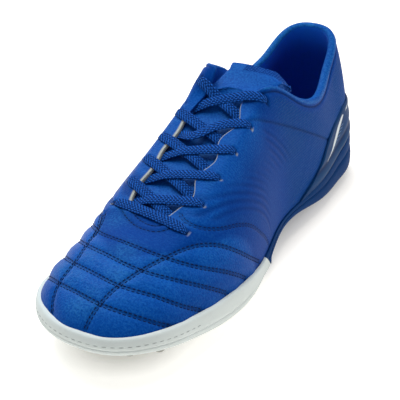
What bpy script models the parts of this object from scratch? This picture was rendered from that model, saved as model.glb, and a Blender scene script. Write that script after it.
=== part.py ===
"""Left turf shoe: hollow upper on a last shape, two-piece studded rubber sole, tongue and lace.

Metres, +Z up. The toe points along -Y, the outer side of the foot is on +X, and the studs
stand on z = 0. Sizes below are millimetres. A station is the distance along the foot from
the back of the heel, and a height is measured from the floor.
"""
import math

import bmesh
import bpy
import numpy as np
from mathutils import Vector

MM = 0.001
GAP = 0.3

# Frame: the station and the sideways place that become y = 0 and x = 0
ORIGIN_STATION = 140.5
ORIGIN_X = -0.2

# Last: stations of the heel fan, the toe fan and the toe tip, and how square the fans are
HEEL_BACK = 3.2
HEEL_CENTRE = 35.0
TOE_CENTRE = 236.0
TOE_TIP = 277.0
HEEL_ROUND = 2.2
TOE_ROUND = 2.3

# Half-widths to each side of the spine, feather-line height, ridge height and fullness.
# Behind station 115 the ridge is only a guide that sets how far the walls lean inward.
LAST_COLUMNS = ("station", "lateral", "medial", "spine", "floor", "ridge", "full")
LAST_ROWS = (
    (0, 32.0, 33.0, 0.0, 21.0, 170.0, 2.00),
    (35, 29.0, 31.0, 0.0, 20.2, 117.0, 1.78),
    (65, 33.6, 32.0, -1.2, 18.9, 145.0, 1.92),
    (90, 34.4, 31.5, -2.2, 17.8, 129.5, 2.15),
    (115, 34.9, 32.5, -2.6, 16.7, 106.0, 2.48),
    (137, 39.5, 36.4, -2.6, 15.4, 92.5, 2.42),
    (158, 44.6, 41.0, -2.4, 13.9, 81.0, 2.30),
    (179, 48.0, 44.0, -2.3, 13.0, 71.5, 2.20),
    (200, 48.5, 44.5, -2.2, 13.2, 62.6, 2.10),
    (220, 47.0, 43.8, -2.0, 14.8, 54.6, 2.10),
    (236, 43.8, 43.2, -1.2, 16.9, 49.2, 2.22),
    (262, 36.6, 41.0, 2.6, 21.2, 45.0, 2.35),
    (286, 30.2, 37.0, 7.2, 25.4, 43.6, 2.40),
)

# Collar: height of the top line on each side
COLLAR_COLUMNS = ("station", "lateral", "medial")
COLLAR_ROWS = (
    (0, 93.5, 93.5),
    (13, 90.5, 90.8),
    (27, 83.0, 82.8),
    (42, 74.3, 74.2),
    (58, 70.3, 70.6),
    (74, 72.8, 74.2),
    (89, 82.4, 84.0),
    (103, 94.3, 98.5),
    (112, 97.8, 105.0),
    (120, 98.6, 109.5),
    (130, 99.0, 114.0),
)
COLLAR_CORNER = 7.0

# Throat: half-width of the lace opening beside the spine, its closed end and its toothed edge
THROAT_COLUMNS = ("station", "lateral", "medial")
THROAT_ROWS = (
    (100, 13.0, 4.5),
    (112, 13.3, 6.5),
    (123, 13.5, 10.8),
    (140, 13.8, 14.6),
    (165, 14.0, 15.8),
    (206, 14.6, 17.3),
)
THROAT_END = 201.0
THROAT_TOP = 112.0
THROAT_FADE = 40.0
THROAT_ROUND = 12.0
THROAT_SQUARE = 3.0
TOOTH_DEPTH = {1: 4.5, -1: 1.5}
TOOTH_PITCH = 25.0
TOOTH_TIP = 171.0

# Eyelets: first and last station of each row, and how far the row lies outside the throat's edge
EYELET_COUNT = 6
EYELET_ENDS = {1: (203.2, 113.0), -1: (196.0, 117.0)}
EYELET_INSET = {1: 9.0, -1: 8.5}

# Instep, laid flat between the two rows of eyelets: its crown, soft edges and where it fades in and out
FLAT_CROWN = 2.5
FLAT_SOFT = 2.5
FLAT_TOP = {1: (104.0, 115.0), -1: (111.0, 124.0)}
FLAT_TURN = 12.0
FLAT_END = (205.0, 230.0)

# Upper wall and collar padding
WALL = 2.0
COLLAR_PAD = 2.4
PAD_FRONT = 103.0
PAD_FADE = 30.0
PAD_REACH = 0.5
CREST_LIFT = 0.42
UPPER_ROWS = 10

# Columns shared by every piece that follows the last, as stations, plus two fans
HEEL_FAN = 7
TOE_FAN = 9
HEEL_STATIONS = (46, 57, 68, 79, 88, 95.5, 102.5)
THROAT_STATIONS = (196, 198.5, 200.2, THROAT_END)
VAMP_STATIONS = (207, 214, 221.5, 229)

# Sole: bottom edge of the side, lip above the feather line and how far the side stands out
SOLE_COLUMNS = ("station", "edge", "lip", "outset")
SOLE_ROWS = (
    (0, 3.8, 11.0, 1.4),
    (25, 3.6, 5.0, 1.4),
    (50, 4.2, 0.8, 1.4),
    (75, 8.0, 0.6, 1.0),
    (100, 12.0, 0.6, 0.7),
    (125, 10.8, 0.6, 0.9),
    (150, 7.4, 0.8, 1.6),
    (172, 4.9, 4.6, 2.4),
    (194, 4.9, 7.2, 2.5),
    (215, 8.0, 8.2, 2.5),
    (236, 12.4, 8.3, 2.5),
    (262, 17.6, 7.2, 2.5),
    (277, 20.2, 6.2, 2.5),
)
SPLIT_STATION = 151.0
SPLIT_SLANT = 0.7
BOTTOM_INSET = 5.0

# Side profiles: share of the side's height and share of the outset, from the bottom up
FORE_SIDE = ((0.04, 0.2), (0.16, 0.75), (0.36, 1.0), (0.40, 0.72), (0.45, 0.95), (0.92, 0.95), (1.0, 0.72))
REAR_SIDE = ((0.03, 0.4), (0.16, 1.0), (0.42, 1.2), (0.56, 0.9), (0.62, 0.35), (0.70, 0.8), (0.92, 0.8), (1.0, 0.5))

# Studs: pitch, top and tip radius, length below the sole and clear margin inside its edge
STUD_PITCH = 14.0
STUD_ROOT = 3.9
STUD_TIP = 2.9
STUD_LENGTH = 4.4
STUD_SINK = 2.0
STUD_SIDES = 8
STUD_MARGIN = 7.5
STUD_FLAT_EDGE = 6.2
FORE_STUD_ROWS = (164, 178, 192, 206, 220, 234, 248, 261)
REAR_STUD_ROWS = (14, 28, 42, 56)

# Insole
INSOLE_THICKNESS = 3.5
INSOLE_CLEAR = 0.6

# Tongue: a padded sheet under the throat, its crest height and half-width to each side by station
TONGUE_COLUMNS = ("station", "crest", "lateral", "medial")
TONGUE_ROWS = (
    (94, 106.5, 26.0, 5.0),
    (104, 102.5, 25.0, 8.5),
    (113, 98.5, 23.5, 13.0),
    (122, 96.0, 22.5, 17.0),
    (137, 91.0, 22.0, 20.5),
    (158, 81.0, 23.0, 23.0),
    (179, 71.5, 25.0, 25.0),
    (206, 61.5, 25.0, 25.0),
    (214, 57.5, 22.0, 22.0),
)
TONGUE_DROP = 3.0
TONGUE_TOP = 96.0
TONGUE_FOOT = 214.0
TONGUE_THICKNESS = 3.6
TONGUE_CLEAR = 1.3
TONGUE_STEPS = 16
TONGUE_ACROSS = 10

# Lace: flat strips from eyelet to eyelet, seated at their ends and lifted over the throat's edge
LACE_WIDTH = 5.5
LACE_THICKNESS = 1.8
LACE_SEAT = 0.4
LACE_CLEAR = 1.8
LACE_RISE = 0.15
LACE_STEPS = 10
LACE_SIDES = 6
LACE_STAGGER = 0.5

# Heel counter: front edge by height, the shell's thickness and its top line
COUNTER_COLUMNS = ("height", "front")
COUNTER_ROWS = ((16, 101), (20.5, 89.5), (25, 79), (31, 68), (40, 55), (44, 46), (47, 38.5), (51, 29))
COUNTER_TOP = 51.0
COUNTER_FOOT = 0.4
COUNTER_THICKNESS = 1.0
COUNTER_ROWS_UP = 7

BLUE_LEATHER = (0.010, 0.075, 0.42, 1.0)
BLUE_RUBBER = (0.012, 0.060, 0.24, 1.0)
WHITE_RUBBER = (0.66, 0.70, 0.70, 1.0)
BLUE_TEXTILE = (0.010, 0.060, 0.36, 1.0)
NAVY_FOAM = (0.006, 0.020, 0.12, 1.0)


# Tables and splines

def spline(places, values):
    """A natural cubic spline through a table, held level past its ends."""
    x = np.asarray(places, float)
    y = np.asarray(values, float)
    step = np.diff(x)
    count = len(x)
    matrix = np.eye(count)
    right = np.zeros(count)
    for i in range(1, count - 1):
        matrix[i, i - 1:i + 2] = step[i - 1], 2 * (step[i - 1] + step[i]), step[i]
        right[i] = 6 * ((y[i + 1] - y[i]) / step[i] - (y[i] - y[i - 1]) / step[i - 1])
    bend = np.linalg.solve(matrix, right)

    def at(place):
        p = np.clip(place, x[0], x[-1])
        i = np.clip(np.searchsorted(x, p) - 1, 0, count - 2)
        a = (x[i + 1] - p) / step[i]
        b = 1 - a
        curve = ((a ** 3 - a) * bend[i] + (b ** 3 - b) * bend[i + 1]) * step[i] ** 2 / 6
        return a * y[i] + b * y[i + 1] + curve

    return at


def table(columns, rows):
    """One spline for each column, over the first column."""
    values = list(zip(*rows))
    return {name: spline(values[0], column) for name, column in zip(columns[1:], values[1:])}


LAST = table(LAST_COLUMNS, LAST_ROWS)
COLLAR = table(COLLAR_COLUMNS, COLLAR_ROWS)
THROAT = table(THROAT_COLUMNS, THROAT_ROWS)
SOLE = table(SOLE_COLUMNS, SOLE_ROWS)
TONGUE = table(TONGUE_COLUMNS, TONGUE_ROWS)
COUNTER = table(COUNTER_COLUMNS, COUNTER_ROWS)
SIDES = {1: "lateral", -1: "medial"}


def smooth(t):
    """A soft step from 0 to 1."""
    t = np.clip(t, 0, 1)
    return t * t * (3 - 2 * t)


# The last: u runs 0 heel back, 1 heel centre, 2 toe centre, 3 toe tip, and v from feather to ridge

def plan(u):
    """Station of the outline, share of the half-width there and station of its root on the spine."""
    heel = np.clip(1 - u, 0, 1) * math.pi / 2
    toe = np.clip(u - 2, 0, 1) * math.pi / 2
    root = HEEL_CENTRE + np.clip(u - 1, 0, 1) * (TOE_CENTRE - HEEL_CENTRE)
    back = (HEEL_CENTRE - HEEL_BACK) * np.sin(heel) ** (2 / HEEL_ROUND)
    ahead = (TOE_TIP - TOE_CENTRE) * np.sin(toe) ** (2 / TOE_ROUND)
    share = np.clip(np.cos(heel), 0, 1) ** (2 / HEEL_ROUND) * np.clip(np.cos(toe), 0, 1) ** (2 / TOE_ROUND)
    return root - back + ahead, share, root


def feather(u, side):
    """Sideways place and station of the feather line."""
    station, share, _ = plan(u)
    return LAST["spine"](station) + side * LAST[SIDES[side]](station) * share, station


def rounded_height(x_offset, station):
    """Height of the last's rounded section at a sideways offset from its spine."""
    side = 1 if x_offset >= 0 else -1
    share = min(abs(x_offset) / LAST[SIDES[side]](station), 0.98)
    full = LAST["full"](station)
    span = LAST["ridge"](station) - LAST["floor"](station)
    return LAST["floor"](station) + span * (1 - share ** full) ** (1 / full)


def flattened(x_offset, station, height):
    """A height of the last with the instep laid flat between the two rows of eyelets."""
    outer = THROAT["lateral"](station) + EYELET_INSET[1]
    inner = -THROAT["medial"](station) - EYELET_INSET[-1]
    share = np.clip((x_offset - inner) / (outer - inner), -0.3, 1.3)
    low = rounded_height(inner, station)
    high = rounded_height(outer, station)
    excess = height - (low + (high - low) * share + FLAT_CROWN * 4 * share * (1 - share))
    turn = smooth(x_offset / FLAT_TURN + 0.5)
    begin = FLAT_TOP[-1][0] + (FLAT_TOP[1][0] - FLAT_TOP[-1][0]) * turn
    full = FLAT_TOP[-1][1] + (FLAT_TOP[1][1] - FLAT_TOP[-1][1]) * turn
    weight = smooth((station - begin) / (full - begin))
    weight *= 1 - smooth((station - FLAT_END[0]) / (FLAT_END[1] - FLAT_END[0]))
    return height - weight * (excess + math.hypot(excess, FLAT_SOFT)) / 2


def last_point(u, v, side):
    """Sideways place, station and height of a point of the last's surface."""
    x, station = feather(u, side)
    root = plan(u)[2]
    power = 2 / LAST["full"](root)
    reach = np.clip(np.cos(v * math.pi / 2), 0, 1) ** power
    climb = np.sin(v * math.pi / 2) ** power
    root_x = LAST["spine"](root)
    s = root + (station - root) * reach
    wide = root_x + (x - root_x) * reach
    height = LAST["floor"](s) + (LAST["ridge"](s) - LAST["floor"](s)) * climb
    return wide, s, flattened(wide - LAST["spine"](s), s, height)


def solve_v(excess):
    """The v at which excess(v) first passes zero, or 1 where it never does."""
    low, high = 0.0, 1.0
    if excess(1.0) <= 0:
        return 1.0
    for _ in range(40):
        middle = (low + high) / 2
        low, high = (middle, high) if excess(middle) <= 0 else (low, middle)
    return low


def throat_half(station, side):
    """Half-width of the lace opening, with a toothed edge and squared off at its end."""
    phase = (TOOTH_TIP - station) / TOOTH_PITCH
    tooth = TOOTH_DEPTH[side] * (0.5 - 0.5 * math.cos(2 * math.pi * phase))
    end = np.clip((station - THROAT_END + THROAT_ROUND) / THROAT_ROUND, 0, 1)
    closing = (1 - end ** THROAT_SQUARE) ** (1 / THROAT_SQUARE)
    return (THROAT[SIDES[side]](station) + tooth) * closing


def rim_v(u, side):
    """The v of the upper's top edge: collar, rounded corner, throat, or the ridge on the vamp."""
    if plan(u)[0] >= THROAT_END:
        return 1.0
    if u == 0:
        side = 1

    def excess(v):
        x, s, z = last_point(u, v, side)
        above = z - COLLAR[SIDES[side]](s)
        inside = throat_half(s, side) - side * (x - LAST["spine"](s))
        inside -= THROAT_FADE * smooth((THROAT_TOP - s) / THROAT_FADE)
        return (above + inside + math.hypot(above - inside, COLLAR_CORNER)) / 2 - COLLAR_CORNER / 4

    return solve_v(excess)


def outline_at(u, side, height):
    """Sideways place and station of the last's side at a height, with its outward direction."""
    v = solve_v(lambda t: last_point(u, t, side)[2] - height)
    x, s, _ = last_point(u, v, side)
    step = 0.004
    x0, s0 = feather(max(u - step, 0.0), side)
    x1, s1 = feather(min(u + step, 3.0), side)
    along = np.array((x1 - x0, s1 - s0))
    if u <= step:
        along = np.array((side, 0.0))
    if u >= 3 - step:
        along = np.array((-side, 0.0))
    out = np.array((along[1], -along[0])) * side
    return np.array((x, s)), out / np.linalg.norm(out)


def column_values():
    """The shared columns as u values, from the heel back to the toe tip."""
    teeth = [TOOTH_TIP + TOOTH_PITCH * (i / 4 - 2.5) for i in range(14)]
    stations = [*HEEL_STATIONS, *teeth, *THROAT_STATIONS, *VAMP_STATIONS]
    body = [1 + (s - HEEL_CENTRE) / (TOE_CENTRE - HEEL_CENTRE) for s in stations]
    heel = [i / HEEL_FAN for i in range(HEEL_FAN + 1)]
    toe = [2 + i / TOE_FAN for i in range(TOE_FAN + 1)]
    return heel + body + toe


COLUMNS = column_values()


# Mesh helpers

def place(x, station, height):
    """A point of the shoe in metres, in the part's frame."""
    return Vector(((x - ORIGIN_X) * MM, (ORIGIN_STATION - station) * MM, height * MM))


def material(name, colour, roughness):
    """A plain finish with the piece's colour."""
    finish = bpy.data.materials.new(name)
    finish.use_nodes = True
    shader = finish.node_tree.nodes["Principled BSDF"]
    shader.inputs["Base Color"].default_value = colour
    shader.inputs["Roughness"].default_value = roughness
    return finish


def finish_object(name, bm, finish):
    """Turn a bmesh into a named object whose faces point outward."""
    bmesh.ops.remove_doubles(bm, verts=bm.verts, dist=0.01 * MM)
    bmesh.ops.recalc_face_normals(bm, faces=bm.faces)
    mesh = bpy.data.meshes.new(name)
    bm.to_mesh(mesh)
    bm.free()
    mesh.materials.append(finish)
    mesh.shade_smooth()
    mesh.set_sharp_from_angle(angle=math.radians(40))
    obj = bpy.data.objects.new(name, mesh)
    bpy.context.collection.objects.link(obj)
    return obj


def add_grid(bm, points):
    """Faces between neighbouring rows of points."""
    verts = [[bm.verts.new(p) for p in row] for row in points]
    for row, following in zip(verts, verts[1:]):
        for i in range(len(row) - 1):
            bm.faces.new((row[i], following[i], following[i + 1], row[i + 1]))
    return verts


def thicken(bm, depth, crest=None):
    """Give an open sheet a wall: depth(vert) inward, closed along its border.

    The border is rounded at the verts that crest() picks and flat elsewhere.
    """
    bmesh.ops.remove_doubles(bm, verts=bm.verts, dist=0.01 * MM)
    bm.normal_update()
    outer = list(bm.verts)
    faces = list(bm.faces)
    border = [e for e in bm.edges if len(e.link_faces) == 1]
    inner = {v: bm.verts.new(v.co - v.normal * depth(v)) for v in outer}
    tops = {}
    for v in {v for edge in border for v in edge.verts if crest and crest(v)}:
        away = v.co - sum((f.calc_center_median() for f in v.link_faces), Vector()) / len(v.link_faces)
        away -= v.normal * away.dot(v.normal)
        tops[v] = bm.verts.new((v.co + inner[v].co) / 2 + away.normalized() * depth(v) * CREST_LIFT)
    for edge in border:
        a, b = edge.verts
        if edge.link_loops[0].vert is not a:
            a, b = b, a
        if a in tops and b in tops:
            bm.faces.new((b, a, tops[a], tops[b]))
            bm.faces.new((tops[b], tops[a], inner[a], inner[b]))
            continue
        loop = [b, a, tops.get(a), inner[a], inner[b], tops.get(b)]
        bm.faces.new([v for v in loop if v])
    for face in faces:
        bm.faces.new([inner[v] for v in reversed(face.verts)])


def ring_solid(bm, rings, closed_ends):
    """A solid from profile rings, one point a column on each side, capped below and above.

    rings[k][side][i] is the point of ring k at column i. Open ends of the columns get a cap.
    """
    grid = [{side: [bm.verts.new(p) for p in ring[side]] for side in SIDES} for ring in rings]
    for low, high in zip(grid, grid[1:]):
        for side in SIDES:
            for i in range(len(low[side]) - 1):
                bm.faces.new((low[side][i], low[side][i + 1], high[side][i + 1], high[side][i]))
    for cap in (grid[0], grid[-1]):
        for i in range(len(cap[1]) - 1):
            bm.faces.new((cap[1][i], cap[1][i + 1], cap[-1][i + 1], cap[-1][i]))
    for end in closed_ends:
        loop = [level[1][end] for level in grid] + [level[-1][end] for level in reversed(grid)]
        bm.faces.new(loop)


# Pieces

def upper_depth(u, v, side, rim):
    """Wall thickness: thin leather, padded towards the collar."""
    s = last_point(u, v, side)[1]
    high = smooth((v / rim - PAD_REACH) / (1 - PAD_REACH) * 1.6)
    return WALL + COLLAR_PAD * high * smooth((PAD_FRONT - s) / PAD_FADE)


def build_upper(finish):
    """One hollow wall from the feather line to the collar, the throat and the ridge of the vamp."""
    bm = bmesh.new()
    depth_layer = bm.verts.layers.float.new("depth")
    rim_layer = bm.verts.layers.int.new("rim")
    for side in SIDES:
        points = []
        depths = []
        for u in COLUMNS:
            rim = rim_v(u, side)
            rows = [rim * j / UPPER_ROWS for j in range(UPPER_ROWS + 1)]
            points.append([place(*last_point(u, v, side)) for v in rows])
            open_top = plan(u)[0] <= THROAT_END
            depths.append([(upper_depth(u, v, side, rim), open_top and v == rows[-1]) for v in rows])
        for column, column_depths in zip(add_grid(bm, points), depths):
            for vert, (depth, on_rim) in zip(column, column_depths):
                vert[depth_layer] = depth
                vert[rim_layer] = int(on_rim)
    bmesh.ops.remove_doubles(bm, verts=bm.verts, dist=0.01 * MM)
    bmesh.ops.recalc_face_normals(bm, faces=bm.faces)
    heel = max(bm.faces, key=lambda f: f.calc_center_median().y)
    heel.normal_update()
    if heel.normal.y < 0:
        bmesh.ops.reverse_faces(bm, faces=bm.faces)

    thicken(bm, lambda vert: vert[depth_layer] * MM, lambda vert: vert[rim_layer])
    return finish_object("upper", bm, finish)


def sole_rings(columns, profile, split):
    """Rings of a sole piece: bottom, side profile, lip and inside floor."""
    rings = []

    def ring(point):
        rings.append({side: [point(u, side) for u in columns] for side in SIDES})

    def spot(u, side, height, offset):
        base, out = outline_at(u, side, height)
        if u == split:
            out = np.array((float(side), 0.0))
        x, s = base + out * offset
        if u == split:
            s += SPLIT_SLANT * (height - LAST["floor"](SPLIT_STATION))
        return place(x, s, height)

    def heights(u):
        s = plan(u)[0]
        return s, SOLE["edge"](s), LAST["floor"](s)

    def bottom(u, side):
        s, edge, _ = heights(u)
        return spot(u, side, edge, -min(BOTTOM_INSET, BOTTOM_INSET * plan(u)[1] + 1.5))

    def side_level(share, out):
        def point(u, side):
            s, edge, floor = heights(u)
            return spot(u, side, edge + share * (floor + SOLE["lip"](s) - edge), GAP + out * SOLE["outset"](s))
        return point

    def lip(share):
        def point(u, side):
            s, _, floor = heights(u)
            low = floor - GAP
            return spot(u, side, low + share * (floor + SOLE["lip"](s) - low), GAP)
        return point

    ring(bottom)
    for share, out in profile:
        ring(side_level(share, out))
    for share in (1.0, 0.5, 0.0):
        ring(lip(share))
    return rings


def studs(name, rows, sole):
    """Tapered studs in rows across the sole, fused on with a Boolean."""
    bm = bmesh.new()
    for index, station in enumerate(rows):
        u_edge = SOLE["edge"](station)
        tip = 0.0 if u_edge < STUD_FLAT_EDGE else u_edge - STUD_LENGTH
        share = 1.0
        if station > TOE_CENTRE:
            share = (1 - ((station - TOE_CENTRE) / (TOE_TIP - TOE_CENTRE)) ** TOE_ROUND) ** (1 / TOE_ROUND)
        if station < HEEL_CENTRE:
            share = (1 - ((HEEL_CENTRE - station) / (HEEL_CENTRE - HEEL_BACK)) ** HEEL_ROUND) ** (1 / HEEL_ROUND)
        left = LAST["spine"](station) - LAST["medial"](station) * share + STUD_MARGIN
        right = LAST["spine"](station) + LAST["lateral"](station) * share - STUD_MARGIN
        count = max(2, int((right - left) / STUD_PITCH) + 1 - index % 2)
        inset = (index % 2) * STUD_PITCH / 4
        for i in range(count):
            x = left + inset + (right - left - 2 * inset) * i / (count - 1)
            turned = bmesh.ops.create_cone(bm, cap_ends=True, segments=STUD_SIDES, radius1=STUD_TIP * MM,
                                           radius2=STUD_ROOT * MM, depth=(u_edge + STUD_SINK - tip) * MM)
            middle = place(x, station, (u_edge + STUD_SINK + tip) / 2)
            bmesh.ops.translate(bm, verts=turned["verts"], vec=middle)
    cutter = finish_object(name, bm, sole.data.materials[0])
    cutter.hide_render = True
    cutter.display_type = "WIRE"
    union = sole.modifiers.new("studs", "BOOLEAN")
    union.operation = "UNION"
    union.object = cutter
    return cutter


def split_u():
    """The column at which the two sole pieces meet."""
    return 1 + (SPLIT_STATION - HEEL_CENTRE) / (TOE_CENTRE - HEEL_CENTRE)


def build_sole(name, profile, ahead, stud_rows, finish):
    """The white forefoot cup or the blue waist and heel, with its studs."""
    clear = 9.0 / (TOE_CENTRE - HEEL_CENTRE)
    seam = split_u() + (GAP / 2 if ahead else -GAP / 2) / (TOE_CENTRE - HEEL_CENTRE)
    if ahead:
        columns = [seam] + [u for u in COLUMNS if u > seam + clear]
    else:
        columns = [u for u in COLUMNS if u < seam - clear] + [seam]
    bm = bmesh.new()
    ring_solid(bm, sole_rings(columns, profile, seam), [0 if ahead else -1])
    sole = finish_object(name, bm, finish)
    studs(name + "_studs", stud_rows, sole)
    return sole


def build_insole(finish):
    """A foam sheet on the sole, inside the wall."""
    inset = WALL + INSOLE_CLEAR

    def ring(lift, extra):
        points = {}
        for side in SIDES:
            points[side] = []
            for u in COLUMNS:
                height = LAST["floor"](plan(u)[0]) + lift
                base, out = outline_at(u, side, height)
                x, s = base - out * (inset + extra)
                points[side].append(place(x, s, height))
        return points

    bm = bmesh.new()
    ring_solid(bm, [ring(0.0, 0.0), ring(INSOLE_THICKNESS * 0.7, 0.0), ring(INSOLE_THICKNESS, 0.8)], [])
    return finish_object("insole", bm, finish)


def last_height(x_offset, station):
    """Height of the last at a sideways offset from its spine."""
    return flattened(x_offset, station, rounded_height(x_offset, station))


def instep_height(x_offset, station):
    """Height of the last with its ridge flattened to the tongue's crest."""
    side = 1 if x_offset >= 0 else -1
    crest = TONGUE["crest"](station) - TONGUE_DROP * (x_offset / TONGUE[SIDES[side]](station)) ** 2
    return min(last_height(x_offset, station), crest)


def lace_height(x_offset, station):
    """Height of what the lace lies on: the flattened last, no higher than the collar."""
    side = 1 if x_offset >= 0 else -1
    return min(last_height(x_offset, station), COLLAR[SIDES[side]](station) + LACE_SEAT)


def over(height, x_offset, station, lift):
    """A point lifted off a surface, given by its height function, along its normal."""
    step = 0.5
    slope_x = (height(x_offset + step, station) - height(x_offset - step, station)) / (2 * step)
    slope_s = (height(x_offset, station + step) - height(x_offset, station - step)) / (2 * step)
    normal = np.array((-slope_x, -slope_s, 1.0))
    normal /= np.linalg.norm(normal)
    base = np.array((LAST["spine"](station) + x_offset, station, height(x_offset, station)))
    return base + normal * lift


def build_tongue(finish):
    """A padded sheet that follows the last under the throat and stands up past the top eyelets."""
    bm = bmesh.new()
    points = []
    for i in range(TONGUE_STEPS + 1):
        station = TONGUE_FOOT + (TONGUE_TOP - TONGUE_FOOT) * i / TONGUE_STEPS
        left = -TONGUE["medial"](station)
        right = TONGUE["lateral"](station)
        row = []
        for j in range(TONGUE_ACROSS + 1):
            x = left + (right - left) * j / TONGUE_ACROSS
            row.append(place(*over(instep_height, x, station, -(WALL + TONGUE_CLEAR))))
        points.append(row)
    add_grid(bm, points)
    bmesh.ops.recalc_face_normals(bm, faces=bm.faces)
    top = max(bm.faces, key=lambda f: f.calc_center_median().z)
    if top.normal.z < 0:
        bmesh.ops.reverse_faces(bm, faces=bm.faces)
    thicken(bm, lambda vert: TONGUE_THICKNESS * MM)
    return finish_object("tongue", bm, finish)


def eyelet(index, side):
    """Sideways offset and station of an eyelet, counted from the toe."""
    first, last = EYELET_ENDS[side]
    station = first + (last - first) * index / (EYELET_COUNT - 1)
    return side * (THROAT[SIDES[side]](station) + EYELET_INSET[side]), station


def lace_strip(bm, start, end, extra):
    """One flat strip of lace from eyelet to eyelet over the last."""
    path = []
    for i in range(LACE_STEPS + 1):
        t = i / LACE_STEPS
        x = start[0] + (end[0] - start[0]) * t
        station = start[1] + (end[1] - start[1]) * t
        lift = LACE_SEAT + (LACE_CLEAR - LACE_SEAT) * smooth(min(t, 1 - t) / LACE_RISE)
        lift += LACE_THICKNESS / 2 + extra
        path.append((over(lace_height, x, station, lift), over(lace_height, x, station, lift + 1.0)))
    rings = []
    for i, (centre, above) in enumerate(path):
        ahead = path[min(i + 1, LACE_STEPS)][0] - path[max(i - 1, 0)][0]
        ahead /= np.linalg.norm(ahead)
        up = above - centre
        across = np.cross(up, ahead)
        across /= np.linalg.norm(across)
        ring = []
        for k in range(LACE_SIDES):
            turn = 2 * math.pi * (k + 0.5) / LACE_SIDES
            spread = math.cos(turn) / math.cos(math.pi / LACE_SIDES)
            rise = math.sin(turn) / math.sin(math.pi / 2 - math.pi / LACE_SIDES)
            ring.append(centre + across * spread * LACE_WIDTH / 2 + up * rise * LACE_THICKNESS / 2)
        rings.append([bm.verts.new(place(*p)) for p in ring])
    for low, high in zip(rings, rings[1:]):
        for k in range(LACE_SIDES):
            following = (k + 1) % LACE_SIDES
            bm.faces.new((low[k], low[following], high[following], high[k]))
    bm.faces.new(rings[0][::-1])
    bm.faces.new(rings[-1])


def build_lace(finish):
    """The bottom bar and the crossings, fused into one body."""
    strips = [(eyelet(0, -1), eyelet(0, 1))]
    for i in range(EYELET_COUNT - 1):
        strips.append((eyelet(i, -1), eyelet(i + 1, 1)))
        strips.append((eyelet(i, 1), eyelet(i + 1, -1)))
    lace = None
    for number, (start, end) in enumerate(strips):
        bm = bmesh.new()
        lace_strip(bm, start, end, LACE_STAGGER * (number % 2))
        strip = finish_object("lace" if lace is None else f"lace_strip_{number}", bm, finish)
        if lace is None:
            lace = strip
            continue
        strip.hide_render = True
        strip.display_type = "WIRE"
        union = lace.modifiers.new(strip.name, "BOOLEAN")
        union.operation = "UNION"
        union.solver = "MANIFOLD"
        union.object = strip
    return lace


def build_counter(finish):
    """A moulded shell around the heel, cut from the last's own surface."""
    bm = bmesh.new()
    for side in SIDES:
        points = []
        for u in COLUMNS:
            station, _, _ = plan(u)
            low = LAST["floor"](station) + SOLE["lip"](station) + COUNTER_FOOT
            high = COUNTER_TOP
            if station > COUNTER["front"](COUNTER_TOP):
                levels = np.linspace(10, COUNTER_TOP, 120)
                reach = [h for h in levels if COUNTER["front"](h) >= station]
                high = max(reach) if reach else 0.0
            if high - low < 1.0:
                break
            column = []
            for j in range(COUNTER_ROWS_UP + 1):
                height = low + (high - low) * j / COUNTER_ROWS_UP
                base, out = outline_at(u, side, height)
                x, s = base + out * (GAP + COUNTER_THICKNESS)
                column.append(place(x, s, height))
            points.append(column)
        add_grid(bm, points)
    bmesh.ops.remove_doubles(bm, verts=bm.verts, dist=0.01 * MM)
    bmesh.ops.recalc_face_normals(bm, faces=bm.faces)
    heel = max(bm.faces, key=lambda f: f.calc_center_median().y)
    heel.normal_update()
    if heel.normal.y < 0:
        bmesh.ops.reverse_faces(bm, faces=bm.faces)
    thicken(bm, lambda vert: COUNTER_THICKNESS * MM)
    return finish_object("heel_counter", bm, finish)


def main():
    for old in list(bpy.data.objects):
        bpy.data.objects.remove(old)
    leather = material("blue_leather", BLUE_LEATHER, 0.42)
    textile = material("blue_textile", BLUE_TEXTILE, 0.75)
    blue_rubber = material("blue_rubber", BLUE_RUBBER, 0.5)
    white_rubber = material("white_rubber", WHITE_RUBBER, 0.55)
    foam = material("navy_foam", NAVY_FOAM, 0.9)
    build_upper(leather)
    build_sole("sole_forefoot", FORE_SIDE, True, FORE_STUD_ROWS, white_rubber)
    build_sole("sole_rear", REAR_SIDE, False, REAR_STUD_ROWS, blue_rubber)
    build_insole(foam)
    build_tongue(leather)
    build_lace(textile)
    build_counter(blue_rubber)


main()
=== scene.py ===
"""Looks of the left turf shoe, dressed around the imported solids.

Lengths are millimetres until a mesh is written. A station runs along the foot from the back of
the heel, sideways is positive on the outer side, and a height is measured from the floor.
"""
import math

import bpy
import numpy as np
from mathutils import Matrix, Vector
from mathutils.bvhtree import BVHTree
from mathutils.kdtree import KDTree


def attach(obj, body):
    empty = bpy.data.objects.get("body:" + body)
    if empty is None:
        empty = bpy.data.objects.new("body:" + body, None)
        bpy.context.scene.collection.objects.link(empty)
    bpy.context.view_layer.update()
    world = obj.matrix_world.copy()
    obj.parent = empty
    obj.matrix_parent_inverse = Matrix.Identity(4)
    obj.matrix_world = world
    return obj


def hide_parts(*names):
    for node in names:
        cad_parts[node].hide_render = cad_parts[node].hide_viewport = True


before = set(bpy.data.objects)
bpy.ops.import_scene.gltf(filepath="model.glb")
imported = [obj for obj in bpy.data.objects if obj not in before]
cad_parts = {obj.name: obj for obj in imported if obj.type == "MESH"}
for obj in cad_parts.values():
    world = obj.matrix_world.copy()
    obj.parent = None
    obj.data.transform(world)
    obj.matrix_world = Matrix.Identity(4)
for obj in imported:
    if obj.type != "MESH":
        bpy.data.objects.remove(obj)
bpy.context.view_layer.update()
bpy.ops.object.select_all(action="DESELECT")

MM = 0.001
GAP = 0.3
LATERAL = 1
MEDIAL = -1


# Tables, curves and small sums

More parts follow.
